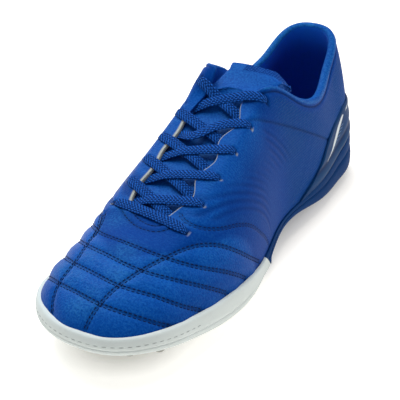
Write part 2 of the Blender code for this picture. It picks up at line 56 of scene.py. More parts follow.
def spline(places, values):
    """A natural cubic spline through a table, held level past its ends."""
    x = np.asarray(places, float)
    y = np.asarray(values, float)
    step = np.diff(x)
    count = len(x)
    matrix = np.eye(count)
    right = np.zeros(count)
    for i in range(1, count - 1):
        matrix[i, i - 1:i + 2] = step[i - 1], 2 * (step[i - 1] + step[i]), step[i]
        right[i] = 6 * ((y[i + 1] - y[i]) / step[i] - (y[i] - y[i - 1]) / step[i - 1])
    bend = np.linalg.solve(matrix, right)

    def at(place):
        p = np.clip(place, x[0], x[-1])
        i = np.clip(np.searchsorted(x, p) - 1, 0, count - 2)
        a = (x[i + 1] - p) / step[i]
        b = 1 - a
        curve = ((a ** 3 - a) * bend[i] + (b ** 3 - b) * bend[i + 1]) * step[i] ** 2 / 6
        return a * y[i] + b * y[i + 1] + curve

    return at


def table(columns, *rows):
    """One spline for each named column, over the first."""
    values = list(zip(*rows))
    return {name: spline(values[0], column) for name, column in zip(columns.split()[1:], values[1:])}


def smooth(t):
    """A soft step from 0 to 1."""
    t = np.clip(t, 0, 1)
    return t * t * (3 - 2 * t)


def bell(distance, width):
    """A soft bump, 1 in its middle."""
    return np.exp(-(distance / width) ** 2)


def xyz(*parts):
    """Points or frames from their parts."""
    return np.stack(parts, -1)


def unit(vectors):
    return vectors / np.maximum(np.linalg.norm(vectors, axis=-1, keepdims=True), 1e-9)


def pick(pair, side):
    """The outer or the inner value of a pair."""
    return np.where(np.asarray(side) > 0, pair[LATERAL], pair[MEDIAL])


def by_side(columns, station, side):
    """A table's lateral or medial value."""
    return np.where(np.asarray(side) > 0, columns["lateral"](station), columns["medial"](station))


def running_length(points, axis=0):
    """Length along a run of points or a grid's axis, from its first point."""
    step = np.linalg.norm(np.diff(points, axis=axis), axis=-1)
    zero = np.zeros_like(np.take(step, [0], axis=axis))
    return np.concatenate((zero, np.cumsum(step, axis=axis)), axis=axis)


def along(run, values, at):
    """Points or vectors of a run, read at some lengths along it."""
    return xyz(*(np.interp(at, run, column) for column in values.T))


def trace(points, step=0.5):
    """A smooth run of points through a short table, about one step apart."""
    points = np.asarray(points, float)
    run = running_length(points)
    at = np.linspace(0, run[-1], int(run[-1] / step) + 2)
    return xyz(*(spline(run, column)(at) for column in points.T))


def half_round(first, last, bulge, steps):
    """Rows of points that turn from one edge over to another, bulging between them."""
    turn = (math.pi * np.arange(1, steps) / steps)[:, None, None]
    return (first + last) / 2 + (first - last) / 2 * np.cos(turn) + bulge * np.sin(turn)


def mirrored(seam):
    """A seam's twin on the medial side."""
    return tuple((s, -MIRROR_SHARE * x - MIRROR_SHIFT, z) for s, x, z in seam)


# Frame: the station and the sideways place that are y = 0 and x = 0
ORIGIN_STATION = 140.5
ORIGIN_X = -0.2

# Camera: the point that it is aimed at, its angles, distance and lens, and the frame's shift
LOOK_AT = (0.2, -2.3, 47.2)
AZIMUTH = 31.9
ELEVATION = 29.9
ROLL = -1.93
DISTANCE = 856.6
SENSOR = 36.0
LENS = 136.4
SHIFT_X = -0.0209
SHIFT_Y = -0.0414

# Light: the sky, the floor's glow, and a shadow painted into the glow beneath the shoe, round a line along
# the floor
SKY_LIGHT = 0.30
FLOOR_GLOW = 0.70
SHADE_MIDDLE = 2.5
SHADE_HALF = 97.5
SHADE_REACH = 38.0
SHADE_SOFT = 18.0
SHADE_SHARE = 0.57
HEEL_SHADE = 5.0
HEEL_SHADE_RUN = 60.0

# Last, with the part's own sizes
HEEL_BACK = 3.2
HEEL_CENTRE = 35.0
TOE_CENTRE = 236.0
TOE_TIP = 277.0
HEEL_ROUND = 2.2
TOE_ROUND = 2.3
LAST = table(
    "station lateral medial spine floor ridge full",
    (0, 32, 33, 0, 21, 170, 2), (35, 29, 31, 0, 20.2, 117, 1.78), (65, 33.6, 32, -1.2, 18.9, 145, 1.92),
    (90, 34.4, 31.5, -2.2, 17.8, 129.5, 2.15), (115, 34.9, 32.5, -2.6, 16.7, 106, 2.48),
    (137, 39.5, 36.4, -2.6, 15.4, 92.5, 2.42), (158, 44.6, 41, -2.4, 13.9, 81, 2.3),
    (179, 48, 44, -2.3, 13, 71.5, 2.2), (200, 48.5, 44.5, -2.2, 13.2, 62.6, 2.1),
    (220, 47, 43.8, -2, 14.8, 54.6, 2.1), (236, 43.8, 43.2, -1.2, 16.9, 49.2, 2.22),
    (262, 36.6, 41, 2.6, 21.2, 45, 2.35), (286, 30.2, 37, 7.2, 25.4, 43.6, 2.4),
)

# Collar and throat
COLLAR = table(
    "station lateral medial",
    (0, 93.5, 93.5), (13, 90.5, 90.8), (27, 83, 82.8), (42, 74.3, 74.2), (58, 70.3, 70.6), (74, 72.8, 75.5),
    (89, 82.4, 89.5), (103, 94.3, 99.5), (112, 97.8, 105), (120, 98.6, 109.5), (130, 99, 114),
)
COLLAR_CORNER = {LATERAL: 7.0, MEDIAL: 3.5}
FLAP_LEAN = 7.0
THROAT = table(
    "station lateral medial",
    (100, 13, 4.5), (112, 13.3, 6.5), (123, 13.5, 10.8), (140, 13.8, 14.6), (165, 14, 15.8),
    (206, 14.6, 17.3),
)
THROAT_END = 201.0
THROAT_TOP = 112.0
THROAT_FADE = 40.0
THROAT_ROUND = 12.0
THROAT_SQUARE = 3.0
FLAT_CROWN = 0.8
FLAT_SOFT = 2.5
FLAT_TOP = {LATERAL: (104, 115), MEDIAL: (111, 124)}
FLAT_TURN = 12.0
FLAT_END = (205, 230)
TOOTH_DEPTH = {LATERAL: 4.5, MEDIAL: 1.5}
TOOTH_PITCH = 25.0
TOOTH_TIP = 171.0
EYELET_COUNT = 6
EYELET_ENDS = {LATERAL: (203.2, 113), MEDIAL: (196, 117)}
EYELET_INSET = {LATERAL: 9.0, MEDIAL: 8.5}

# Wall of the upper and fineness of its mesh
WALL = 2.0
COLLAR_PAD = 2.4
PAD_FRONT = 103.0
PAD_FADE = 30.0
PAD_REACH = 0.5
COLUMN_STEP = 1.15
OUTER_ROWS = 92
INNER_ROWS = 26
CREST_ROWS = 6
MERGE = 0.004

# Sole
SOLE = table(
    "station edge lip outset",
    (0, 3.8, 11, 1.4), (25, 3.6, 5, 1.4), (50, 4.2, 0.8, 1.4), (75, 8, 0.6, 1), (100, 12, 0.6, 0.7),
    (125, 10.8, 0.6, 0.9), (150, 7.4, 0.8, 1.6), (172, 4.9, 4.6, 2.4), (194, 4.9, 7.2, 2.5),
    (215, 8, 8.2, 2.5), (236, 12.4, 8.3, 2.5), (262, 17.6, 7.2, 2.5), (277, 20.2, 6.2, 2.5),
)
SPLIT_STATION = 151.0
SPLIT_SLANT = 0.7
SPLIT_FADE = 10.0
BOTTOM_INSET = 5.0
SOLE_STEP = 1.5

# Side profiles: share of the side's height and share of the outset, from the bottom up
FORE_SIDE = (
    (0, -0.45), (0.015, 0), (0.05, 0.42), (0.11, 0.74), (0.19, 0.93), (0.29, 1), (0.335, 0.99),
    (0.352, 0.965), (0.366, 0.92), (0.39, 0.89), (0.414, 0.92), (0.428, 0.965), (0.45, 0.99), (0.58, 0.99),
    (0.74, 0.98), (0.88, 0.95), (0.945, 0.89), (0.98, 0.76), (1, 0.52), (1, 0.22),
)
REAR_SIDE = (
    (0, -0.3), (0.03, 0.2), (0.08, 0.65), (0.16, 1), (0.27, 1.18), (0.4, 1.22), (0.5, 1.12), (0.56, 0.9),
    (0.59, 0.55), (0.62, 0.35), (0.65, 0.5), (0.69, 0.8), (0.75, 0.92), (0.84, 0.92), (0.93, 0.8), (1, 0.42),
)
FLOOR_SHARES = (1.0, 0.66, 0.33, 0.0)

# Studs
STUD_PITCH = 14.0
STUD_ROOT = 3.9
STUD_TIP = 2.9
STUD_LENGTH = 4.4
STUD_SINK = 2.0
STUD_MARGIN = 7.5
STUD_FLAT_EDGE = 6.2
STUD_ROUND = 0.35
FORE_STUD_ROWS = (164, 178, 192, 206, 220, 234, 248, 261)
REAR_STUD_ROWS = (14, 28, 42, 56)

# Tongue
TONGUE = table(
    "station crest lateral medial",
    (84, 107, 28.5, 3.5), (94, 106.3, 27.5, 5), (104, 102.3, 25, 6.8), (113, 98.5, 23.5, 9.5),
    (122, 96, 22.5, 14.5), (137, 91, 22, 20), (158, 81, 24, 23), (179, 71.5, 25, 25), (206, 61.5, 25, 25),
    (214, 57.5, 22, 22),
)
TONGUE_DROP = 2.0
TONGUE_TOP = {LATERAL: 83.0, MEDIAL: 98.0}
TONGUE_CORNER = 3.0
TONGUE_SLOPE = 0.255
TONGUE_LEAN = 0.7
TEXTILE_BAND = 7.0
TONGUE_FOOT = 214.0
TONGUE_THICKNESS = 3.6
TONGUE_CLEAR = 1.3
TONGUE_ROWS = 110
TONGUE_ACROSS = 44
TONGUE_EDGE = 8

# Insole: sizes, and its edge as shares of the thickness and insets
INSOLE_THICKNESS = 3.5
INSOLE_CLEAR = 0.6
INSOLE_EDGE = ((0.12, 0), (0.4, 0), (0.7, 0.05), (0.88, 0.3), (0.97, 0.8), (1, 1.6))

# Lace
LACE_REACH = 1.8
LOOSE_STRIP = 8
LOOSE_SLACK = 6.5
LACE_WIDTH = 6.3
LACE_THICKNESS = 1.3
LACE_STEPS = 64
LACE_SIDES = 14

# Heel counter
COUNTER = table(
    "height front",
    (16, 101), (20.5, 89.5), (25, 79), (31, 68), (40, 55), (44, 46), (47, 38.5), (51, 29),
)
COUNTER_FRONT = 101.0
COUNTER_TOP = 51.0
COUNTER_FOOT = 0.4
COUNTER_THICKNESS = 1.0
COUNTER_ROWS = 46

# Pale stripe on the counter: station and half-width by height, and its height where it turns to the back
STRIPE_LINE = ((27.7, 59), (33, 49.5), (37.5, 42), (42, 36.5), (46, 31))
STRIPE_HALF = ((26.5, -1), (28, 0.1), (31, 0.8), (36, 1.4), (41, 1.4), (45.5, 0.9), (48, -1))
STRIPE_ARCH = ((3, 49), (20, 48.3), (31, 46))
STRIPE_SLANT = 1.85

# Seams on the upper, each a short table of station, sideways and height on the last
MIRROR_SHARE = 0.92
MIRROR_SHIFT = 4
LONG_INNER = (
    (270, -19, 30), (256, -23.5, 38), (242, -22.5, 44), (228, -24, 47), (216, -26, 50), (203, -30, 51),
)
LONG_OUTER = (
    (275, 6, 31), (264, 7.5, 40), (249, 11, 45), (236, 15.5, 47), (222, 21.5, 49), (208, 28.5, 50),
    (197, 35, 47), (183, 42, 37), (170, 45.5, 26), (160, 46, 18),
)
CROSS_ROWS = (
    ((242, -41, 28), (250, -33, 35), (256, -23.5, 39), (260.5, -9, 41),
     (263, 8, 40), (260, 24, 37), (253, 34, 31), (246, 39, 26)),
    ((222, -43, 28), (233, -36, 38), (243, -22, 44), (248, -5, 46),
     (249.5, 11, 44), (245, 26, 41), (236, 38, 33), (224, 43.5, 24)),
    ((206, -44, 27), (217, -38, 39), (229, -23.5, 47), (235, -4, 49),
     (236, 15.5, 47), (230, 29, 43), (218, 40, 35), (201, 46, 22)),
    ((186, -45, 22), (203, -38, 41), (217.5, -24.5, 50), (224, 0, 53),
     (222, 21, 49), (214, 34, 43), (198, 43, 33), (181, 46.5, 20)),
)
QUARTER_SEAM = (
    (195, 14, 59.5), (197, 17, 58.3), (198, 23, 57), (195, 28.7, 54.5), (188, 34, 51.7), (176, 38, 48.5),
    (164.5, 40, 42.5), (154, 41, 32.5), (145, 40.5, 23), (141, 40, 17),
)
COLLAR_SEAM = ((129, 20, 87), (114, 25.5, 79), (99, 28, 70), (77, 31, 56), (53, 30, 40))
THROAT_STRIP = ((200.5, -17.5, 56.6), (205, -10.4, 55.6), (208, -1, 55), (207, 8, 55), (203, 12.6, 56.3))
QUILT_SEAMS = (LONG_INNER, LONG_OUTER, *CROSS_ROWS, mirrored(LONG_OUTER[4:]))
QUARTER_SEAMS = (QUARTER_SEAM, mirrored(QUARTER_SEAM))

# Worn places on the vamp, painted lighter as sheen: station, sideways, height, reach and share
WEAR_AND_SHEEN = (
    (267, -3, 38, 7, 1), (266, 4, 38, 5, 0.7), (260, 0, 41.5, 6, 0.7), (252, -16, 42.5, 8, 0.6),
    (244, 6.5, 46.5, 7, 0.8), (237, -16, 47.5, 7, 0.6), (246, -28, 40.5, 7, 0.8), (230, 1, 51, 8, 0.8),
    (207, -20, 54, 8, 0.7), (228, 22, 47.5, 8, 0.4),
)

# Relief of the vamp's quilting and of the quarter
TROUGH_DEPTH = 0.75
TROUGH_WIDTH = 1.7
PUFF_HEIGHT = 0.85
PUFF_REACH = 7.0
RIM_SEAM = 2.8
RIPPLE_STATION = 182.0
RIPPLE_HEIGHT = 8.0
RIPPLE_START = 2.5
RIPPLE_PITCH = 4.0

# Stitches: pitch, distances of the rows from their seam and lift, sizes of the beads, and the wall's row
QUILT_STITCH = (2.7, (-0.85, 0.85), 0.32 - TROUGH_DEPTH)
STRIP_STITCH = (2.4, (-2.1, 2.1), 0.1)
QUILT_BEAD = (2.1, 0.48, 0.4)
WALL_BEAD = (2.7, 0.5, 0.4)
WALL_PITCH = 4.4
WALL_START = 228.0
WALL_SHARE = 0.60
WALL_OUT = 0.97

# Colours
BLUE = (0.0024, 0.060, 0.33)
BLUE_LIGHT = (0.0045, 0.100, 0.45)
BLUE_DEEP = (0.0008, 0.028, 0.19)
BLUE_QUARTER = (0.0008, 0.041, 0.26)
# A paler blue for worn leather and for painted sheen and sparkle
BLUE_WORN_SHEEN = (0.018, 0.145, 0.43)
BLUE_KNURL = (0.018, 0.078, 0.205)
BLUE_GLOSS = (0.08, 0.58, 1.0)
NAVY = (0.0008, 0.004, 0.030)
LINING_BLUE = (0.0018, 0.074, 0.46)
# Pale colour of the cut edges, also used for the painted glints at the eyelets
CUT_EDGE_AND_GLINT = (0.46, 0.47, 0.40)
RUBBER_WHITE = (0.68, 0.745, 0.735)
RUBBER_BLUE = (0.004, 0.040, 0.16)
WHITE = (1.0, 1.0, 1.0)


# The last: u runs 0 heel back, 1 heel centre, 2 toe centre, 3 toe tip, and v from feather to ridge

def plan(u):
    """Station of the outline, share of the half-width there and station of its root on the spine."""
    heel = np.clip(1 - u, 0, 1) * math.pi / 2
    toe = np.clip(u - 2, 0, 1) * math.pi / 2
    root = HEEL_CENTRE + np.clip(u - 1, 0, 1) * (TOE_CENTRE - HEEL_CENTRE)
    back = (HEEL_CENTRE - HEEL_BACK) * np.sin(heel) ** (2 / HEEL_ROUND)
    ahead = (TOE_TIP - TOE_CENTRE) * np.sin(toe) ** (2 / TOE_ROUND)
    share = np.clip(np.cos(heel), 0, 1) ** (2 / HEEL_ROUND) * np.clip(np.cos(toe), 0, 1) ** (2 / TOE_ROUND)
    return root - back + ahead, share, root


def u_at(station):
    """The u of a station between the heel centre and the toe centre."""
    return 1 + (station - HEEL_CENTRE) / (TOE_CENTRE - HEEL_CENTRE)


def feather(u, side):
    """Sideways place and station of the feather line."""
    station, share, _ = plan(u)
    return LAST["spine"](station) + side * by_side(LAST, station, side) * share, station


def rounded_height(offset, station):
    """Height of the last's rounded section at a sideways offset from its spine."""
    share = np.minimum(np.abs(offset) / by_side(LAST, station, np.sign(offset) + 0.5), 0.98)
    full = LAST["full"](station)
    span = LAST["ridge"](station) - LAST["floor"](station)
    return LAST["floor"](station) + span * (1 - share ** full) ** (1 / full)


def flattened(offset, station, height):
    """A height of the last with the instep laid flat between the two rows of eyelets."""
    outer = THROAT["lateral"](station) + EYELET_INSET[LATERAL]
    inner = -THROAT["medial"](station) - EYELET_INSET[MEDIAL]
    share = np.clip((offset - inner) / (outer - inner), -0.3, 1.3)
    low, high = rounded_height(inner, station), rounded_height(outer, station)
    excess = height - (low + (high - low) * share + FLAT_CROWN * 4 * share * (1 - share))
    turn = smooth(offset / FLAT_TURN + 0.5)
    ends = zip(FLAT_TOP[MEDIAL], FLAT_TOP[LATERAL])
    begin, full = (inside + (outside - inside) * turn for inside, outside in ends)
    weight = smooth((station - begin) / (full - begin))
    weight = weight * (1 - smooth((station - FLAT_END[0]) / (FLAT_END[1] - FLAT_END[0])))
    return height - weight * (excess + np.hypot(excess, FLAT_SOFT)) / 2


def last_height(offset, station):
    """Height of the last at a sideways offset from its spine."""
    return flattened(offset, station, rounded_height(offset, station))


def last_point(u, v, side):
    """Sideways place, station and height of a point of the last's surface."""
    x, station = feather(u, side)
    root = plan(u)[2]
    power = 2 / LAST["full"](root)
    reach = np.clip(np.cos(v * math.pi / 2), 0, 1) ** power
    climb = np.clip(np.sin(v * math.pi / 2), 0, 1) ** power
    root_x = LAST["spine"](root)
    s = root + (station - root) * reach
    wide = root_x + (x - root_x) * reach
    height = LAST["floor"](s) + (LAST["ridge"](s) - LAST["floor"](s)) * climb
    return wide, s, flattened(wide - LAST["spine"](s), s, height)


def solve_v(excess, shape):
    """The v at which excess(v) first passes zero, or 1 where it never does."""
    low = np.zeros(shape)
    high = np.ones(shape)
    open_end = excess(high) <= 0
    for _ in range(36):
        middle = (low + high) / 2
        above = excess(middle) > 0
        high = np.where(above, middle, high)
        low = np.where(above, low, middle)
    return np.where(open_end, 1.0, low)


def throat_half(station, side):
    """Half-width of the lace opening, with a toothed edge and squared off at its end."""
    phase = (TOOTH_TIP - station) / TOOTH_PITCH
    tooth = pick(TOOTH_DEPTH, side) * (0.5 - 0.5 * np.cos(2 * math.pi * phase))
    end = np.clip((station - THROAT_END + THROAT_ROUND) / THROAT_ROUND, 0, 1)
    closing = (1 - end ** THROAT_SQUARE) ** (1 / THROAT_SQUARE)
    return (by_side(THROAT, station, side) + tooth) * closing


def rim_v(u, side):
    """The v of the upper's top edge: collar, rounded corner, throat, or the ridge on the vamp."""
    corner = pick(COLLAR_CORNER, side)

    def excess(v):
        x, s, z = last_point(u, v, side)
        above = z - by_side(COLLAR, s, side)
        inside = throat_half(s, side) - side * (x - LAST["spine"](s))
        inside = inside - THROAT_FADE * smooth((THROAT_TOP - s) / THROAT_FADE)
        return (above + inside + np.hypot(above - inside, corner)) / 2 - corner / 4

    return np.where(plan(u)[0] >= THROAT_END, 1.0, solve_v(excess, np.shape(u)))


def outline_at(u, side, height):
    """Sideways place and station of the last's side at a height, and its outward direction."""
    v = solve_v(lambda t: last_point(u, t, side)[2] - height, np.shape(u))
    x, s, _ = last_point(u, v, side)
    step = 0.004
    x0, s0 = feather(np.clip(u - step, 0, 3), side)
    x1, s1 = feather(np.clip(u + step, 0, 3), side)
    out_x = np.where((u <= step) | (u >= 3 - step), 0.0, (s1 - s0) * side)
    out_s = np.where(u <= step, -1.0, np.where(u >= 3 - step, 1.0, (x0 - x1) * side))
    size = np.hypot(out_x, out_s)
    return x, s, out_x / size, out_s / size


def ring_at(u, side, height, offset, inward=1.0, fade=0.0):
    """A ring round the last at a height, moved outward, slanted near the split and drawn in to a share."""
    x, station, out_x, out_s = outline_at(u, side, height)
    x = x + (out_x * (1 - fade) + side * fade) * offset
    station = station + out_s * (1 - fade) * offset
    station = station + SPLIT_SLANT * (height - LAST["floor"](SPLIT_STATION)) * fade
    root = np.clip(station, HEEL_CENTRE, TOE_CENTRE)
    spine = LAST["spine"](root)
    return xyz(spine + (x - spine) * inward, root + (station - root) * inward, height)


def ring_columns(step, first=0.0, last=3.0):
    """u values about one step apart along the feather line, with the throat's end among them."""
    dense = np.linspace(first, last, 4001)
    run = running_length(xyz(*feather(dense, LATERAL)))
    values = np.interp(np.linspace(0, run[-1], int(run[-1] / step) + 1), run, dense)
    end = u_at(THROAT_END)
    if first < end < last:
        values[np.argmin(np.abs(values - end))] = end
    return values


def around(values):
    """Columns round the shoe, from one end of the medial side to the same end of the lateral side."""
    both = values[0] == 0.0
    u = np.concatenate((values[::-1], values[1:] if both else values))
    side = np.where(np.arange(len(u)) < len(values) - both, MEDIAL, LATERAL)
    return u, side


# Mesh helpers

def place(points):
    """Points of sideways, station and height as metres in the part's frame."""
    return (np.asarray(points, float) * (1, -1, 1) + (-ORIGIN_X, ORIGIN_STATION, 0)) * MM


def choose(*objects):
    """Select only these objects, the first of them active."""
    bpy.ops.object.select_all(action="DESELECT")
    for obj in objects[::-1]:
        obj.select_set(True)
        bpy.context.view_layer.objects.active = obj


def edit(obj, *steps):
    """Run edit-mode steps on one object, each a function."""
    choose(obj)
    bpy.ops.object.mode_set(mode="EDIT")
    for step in steps:
        step()
    bpy.ops.object.mode_set(mode="OBJECT")


def select_everything():
    bpy.ops.mesh.select_all(action="SELECT")


def merge_doubles():
    select_everything()
    bpy.ops.mesh.remove_doubles(threshold=MERGE * MM)


def face_outward():
    select_everything()
    bpy.ops.mesh.normals_make_consistent(inside=False)


def close_open_ends():
    bpy.ops.mesh.select_mode(type="EDGE")
    bpy.ops.mesh.select_all(action="DESELECT")
    bpy.ops.mesh.select_non_manifold(extend=False, use_wire=False, use_boundary=True, use_multi_face=False,
                                     use_non_contiguous=False, use_verts=False)
    bpy.ops.mesh.edge_face_add()


def lay_grid(name, points, attributes=None, drop=None, slots=None):
    """A primitive grid laid over rows and columns of points, welded where rows or columns meet.

    drop and slots are one value a face: faces to leave out, and material slots. Without drop, the
    open ends are closed.
    """
    rows, columns = points.shape[:2]
    choose()
    bpy.ops.mesh.primitive_grid_add(x_subdivisions=columns - 1, y_subdivisions=rows - 1, size=1.0)
    obj = bpy.context.object
    mesh = obj.data
    obj.name = mesh.name = name
    mesh.vertices.foreach_set("co", place(points).astype(np.float32).ravel())
    for key, values in (attributes or {}).items():
        layer = mesh.attributes.new(key, "FLOAT", "POINT")
        layer.data.foreach_set("value", np.asarray(values, np.float32).ravel())
    corners = np.zeros(len(mesh.loops), np.int32)
    mesh.loops.foreach_get("vertex_index", corners)
    lowest = corners.reshape(-1, 4).min(1)
    spot = (lowest // columns, lowest % columns)
    if slots is not None:
        mesh.polygons.foreach_set("material_index", slots[spot].astype(np.int32))
    if drop is None:
        edit(obj, merge_doubles, close_open_ends, face_outward)
    else:
        for layer in (mesh.vertices, mesh.edges):
            layer.foreach_set("select", np.zeros(len(layer), bool))
        mesh.polygons.foreach_set("select", drop[spot])
        bpy.context.tool_settings.mesh_select_mode = (False, False, True)
        edit(obj, lambda: bpy.ops.mesh.delete(type="FACE"), merge_doubles, face_outward)
    bpy.context.tool_settings.mesh_select_mode = (True, False, False)
    bpy.ops.object.shade_smooth()
    return obj


def soften_edges(obj, width, segments, angle):
    """Round an object's sharp edges."""
    soften = obj.modifiers.new("soften", "BEVEL")
    soften.width = width
    soften.segments = segments
    soften.limit_method = "ANGLE"
    soften.angle_limit = math.radians(angle)
    choose(obj)
    bpy.ops.object.modifier_apply(modifier="soften")


def finish_piece(obj, finishes, slot, *replaced, smooth_angle=None):
    """Materials and body of a finished piece, and the nodes that it stands for. slot is not used."""
    for finish in finishes if isinstance(finishes, list) else [finishes]:
        obj.data.materials.append(finish.material)
    if smooth_angle is not None:
        choose(obj)
        bpy.ops.object.shade_smooth_by_angle(angle=math.radians(smooth_angle))
    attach(obj, "root")
    if replaced:
        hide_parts(*replaced)
    return obj


def copies(name, template, places):
    """One joined mesh of a template's copies, each placed by a 4 by 4 matrix in millimetres."""
    points = np.array([(*v.co, 1) for v in template.data.vertices])
    faces = [list(p.vertices) for p in template.data.polygons]
    placed = np.einsum("nij,kj->nki", np.asarray(places), points)[..., :3]
    mesh = bpy.data.meshes.new(name)
    every_face = [[i + n * len(points) for i in face] for n in range(len(places)) for face in faces]
    mesh.from_pydata(place(placed).reshape(-1, 3).tolist(), [], every_face)
    mesh.update()
    obj = bpy.data.objects.new(name, mesh)
    bpy.context.collection.objects.link(obj)
    bpy.data.objects.remove(template)
    edit(obj, face_outward)
    bpy.ops.object.shade_smooth()
    return obj


# Shader values and finishes

def both_ways(operation):
    """An operator and its reflected form, each of which adds a Math node."""
    return (lambda a, b: a.math(operation, a, b)), (lambda a, b: a.math(operation, b, a))


class Value:
    """A shader value. Arithmetic on it adds Math nodes."""

    __add__, __radd__ = both_ways("ADD")
    __sub__, __rsub__ = both_ways("SUBTRACT")
    __mul__, __rmul__ = both_ways("MULTIPLY")
    __truediv__, __rtruediv__ = both_ways("DIVIDE")
    __pow__, __rpow__ = both_ways("POWER")

    def __init__(self, finish, socket):
        self.finish = finish
        self.socket = socket

    def math(self, operation, *values):
        return self.finish.node("ShaderNodeMath", {"operation": operation}, dict(enumerate(values)))

    def sin(self):
        return self.math("SINE", self)

    def abs(self):
        return self.math("ABSOLUTE", self)

    def most(self, other):
        return self.math("MAXIMUM", self, other)

    def clamp(self):
        return self.finish.node("ShaderNodeClamp", {}, {0: self})


class Finish:
    """One material: a Principled shader and the nodes that feed it."""

    def __init__(self, name, gloss, tint=WHITE, **constants):
        self.material = bpy.data.materials.new(name)
        self.material.use_nodes = True
        self.tree = self.material.node_tree
        self.shader = self.tree.nodes["Principled BSDF"]
        self.set("Specular IOR Level", gloss)
        self.set("Specular Tint", tint)
        for words, value in constants.items():
            self.set(words.replace("_", " ").title(), value)

    def node(self, kind, settings, sockets, out=0):
        made = self.tree.nodes.new(kind)
        for key, value in settings.items():
            setattr(made, key, value)
        for key, value in sockets.items():
            self.feed(made.inputs[key], value)
        return Value(self, made.outputs[out])

    def feed(self, socket, value):
        """Link a value, or set a number or a colour."""
        if isinstance(value, Value):
            self.tree.links.new(value.socket, socket)
        else:
            socket.default_value = (*value, 1.0) if isinstance(value, tuple) else value

    def set(self, socket, value):
        self.feed(self.shader.inputs[socket], value)

    def mark(self, name):
        """An attribute of the piece's own mesh."""
        return self.node("ShaderNodeAttribute", {"attribute_name": name}, {}, "Fac")

    def place(self, axis=None):
        spot = self.node("ShaderNodeTexCoord", {}, {}, "Object")
        if axis is None:
            return spot
        return self.node("ShaderNodeSeparateXYZ", {}, {0: spot}, axis) * 1000.0

    def noise(self, scale, detail=2.0, rough=0.5):
        sockets = {"Vector": self.place(), "Scale": scale, "Detail": detail, "Roughness": rough}
        return self.node("ShaderNodeTexNoise", {}, sockets)

    def cells(self, scale):
        return self.node("ShaderNodeTexVoronoi", {}, {"Vector": self.place(), "Scale": scale}, "Distance")

    def mix(self, factor, first, second):
        return self.node("ShaderNodeMix", {"data_type": "RGBA"}, {0: factor, 6: first, 7: second}, 2)

    def bump(self, height, strength, distance):
        sockets = {"Strength": strength, "Distance": distance * MM, "Height": height}
        self.set("Normal", self.node("ShaderNodeBump", {}, sockets))


def wave(value, pitch):
    """A wave from 0 to 1 that repeats every pitch."""
    return (value * (2 * math.pi / pitch)).sin() * 0.5 + 0.5


def check(finish, pitch):
    """A small check of two crossed waves, along and across the piece."""
    return wave(finish.mark("run"), pitch[0]) * wave(finish.mark("girth"), pitch[1])


def leather_finish():
    """Blue synthetic leather: pebbled and worn on the vamp, with painted sheen there, ripples and a knurl
    pressed into the quarter.
    """
    leather = Finish("blue_leather_grain", 0.09, BLUE_GLOSS)
    mix, noise, mark = leather.mix, leather.noise, leather.mark
    vamp, wear_and_sheen, knurl_mask, ripple_mask = map(mark, ("vamp", "wear_and_sheen", "knurl_mask", "ripple_mask"))
    tone = noise(60.0, 3.0)
    speck = noise(700.0, 4.0, 0.7)
    fine = noise(920.0, 2.0, 0.7)
    grain = noise(1500.0, 3.0, 0.6)
    # The vamp mark is partly the vamp's lighter leather and partly painted light
    base = mix(vamp, BLUE_QUARTER, mix(tone, BLUE, BLUE_LIGHT))
    # Worn places, speckled and painted lighter as sheen
    base = mix((wear_and_sheen * ((speck - 0.36) * 4.0).clamp()).clamp() * 0.75, base, BLUE_WORN_SHEEN)
    # Painted sparkle: light speckles in the grain, stronger on the worn and sheen places and the vamp
    light = wear_and_sheen * 0.5 + tone * vamp * 0.35 + 0.16
    base = mix((((fine - 0.5) * 7.0).clamp() * light).clamp(), base, BLUE_WORN_SHEEN)
    base = mix(((0.5 - fine) * 6.0).clamp() * (vamp * 0.15 + 0.3), base, BLUE_DEEP)
    ripple = wave(mark("ripple"), RIPPLE_PITCH) * ripple_mask
    base = mix((ripple * 0.75).clamp(), base, BLUE_DEEP)
    knurl = check(leather, (1.5, 1.7))
    mesh = (knurl * 0.6 + fine * 0.9 - 0.15).clamp()
    base = mix((mesh * knurl_mask * (tone * 0.8 + 0.45)).clamp() * 0.75, base, BLUE_KNURL)
    # Dark seams, with painted shade in their troughs
    base = mix((mark("groove") * 0.8).clamp(), base, NAVY)
    # Pale cut edges, and painted glints at the eyelets
    base = mix(mark("cut"), base, CUT_EDGE_AND_GLINT)
    # Painted shade in the eyelet holes
    leather.set("Base Color", mix(mark("hole"), base, NAVY))
    height = grain * 0.4 + leather.cells(850.0) * (vamp * 0.6 + 0.2) + fine * 0.8 - ripple * 1.6
    leather.bump(height + knurl * knurl_mask * 1.6 + speck * wear_and_sheen * 1.2, 0.55, 0.35)
    leather.set("Roughness", grain * 0.16 + knurl_mask * 0.06 - vamp * 0.18 + 0.50)
    return leather


def lining_finish():
    """Blue lining cloth with a fine weave, painted lighter near the rim where light reaches in."""
    lining = Finish("blue_lining", 0.15, BLUE_GLOSS, roughness=0.8, sheen_weight=0.05)
    weave = check(lining, (0.9, 0.9))
    # Painted light: the lining is lighter near the collar's rim
    base = lining.mix(lining.mark("rim_painted_light"), LINING_BLUE, (0.008, 0.15, 0.80))
    lining.set("Base Color", lining.mix(weave * 0.35, base, BLUE_DEEP))
    lining.bump(weave + lining.noise(900.0) * 0.6, 0.45, 0.2)
    return lining


def thread_finish(name, colour, worn):
    """Twisted sewing thread, here and there sunk to the colour around it."""
    thread = Finish(name, 0.1, roughness=0.65)
    twist = wave(thread.place("X") + thread.place("Y") + thread.place("Z"), 0.5)
    base = thread.mix(twist * 0.4, colour, tuple(c * 1.6 for c in colour))
    thread.set("Base Color", thread.mix(((thread.noise(120.0) - 0.5) * 5.0).clamp() * 0.8, base, worn))
    thread.bump(twist, 0.4, 0.1)
    return thread


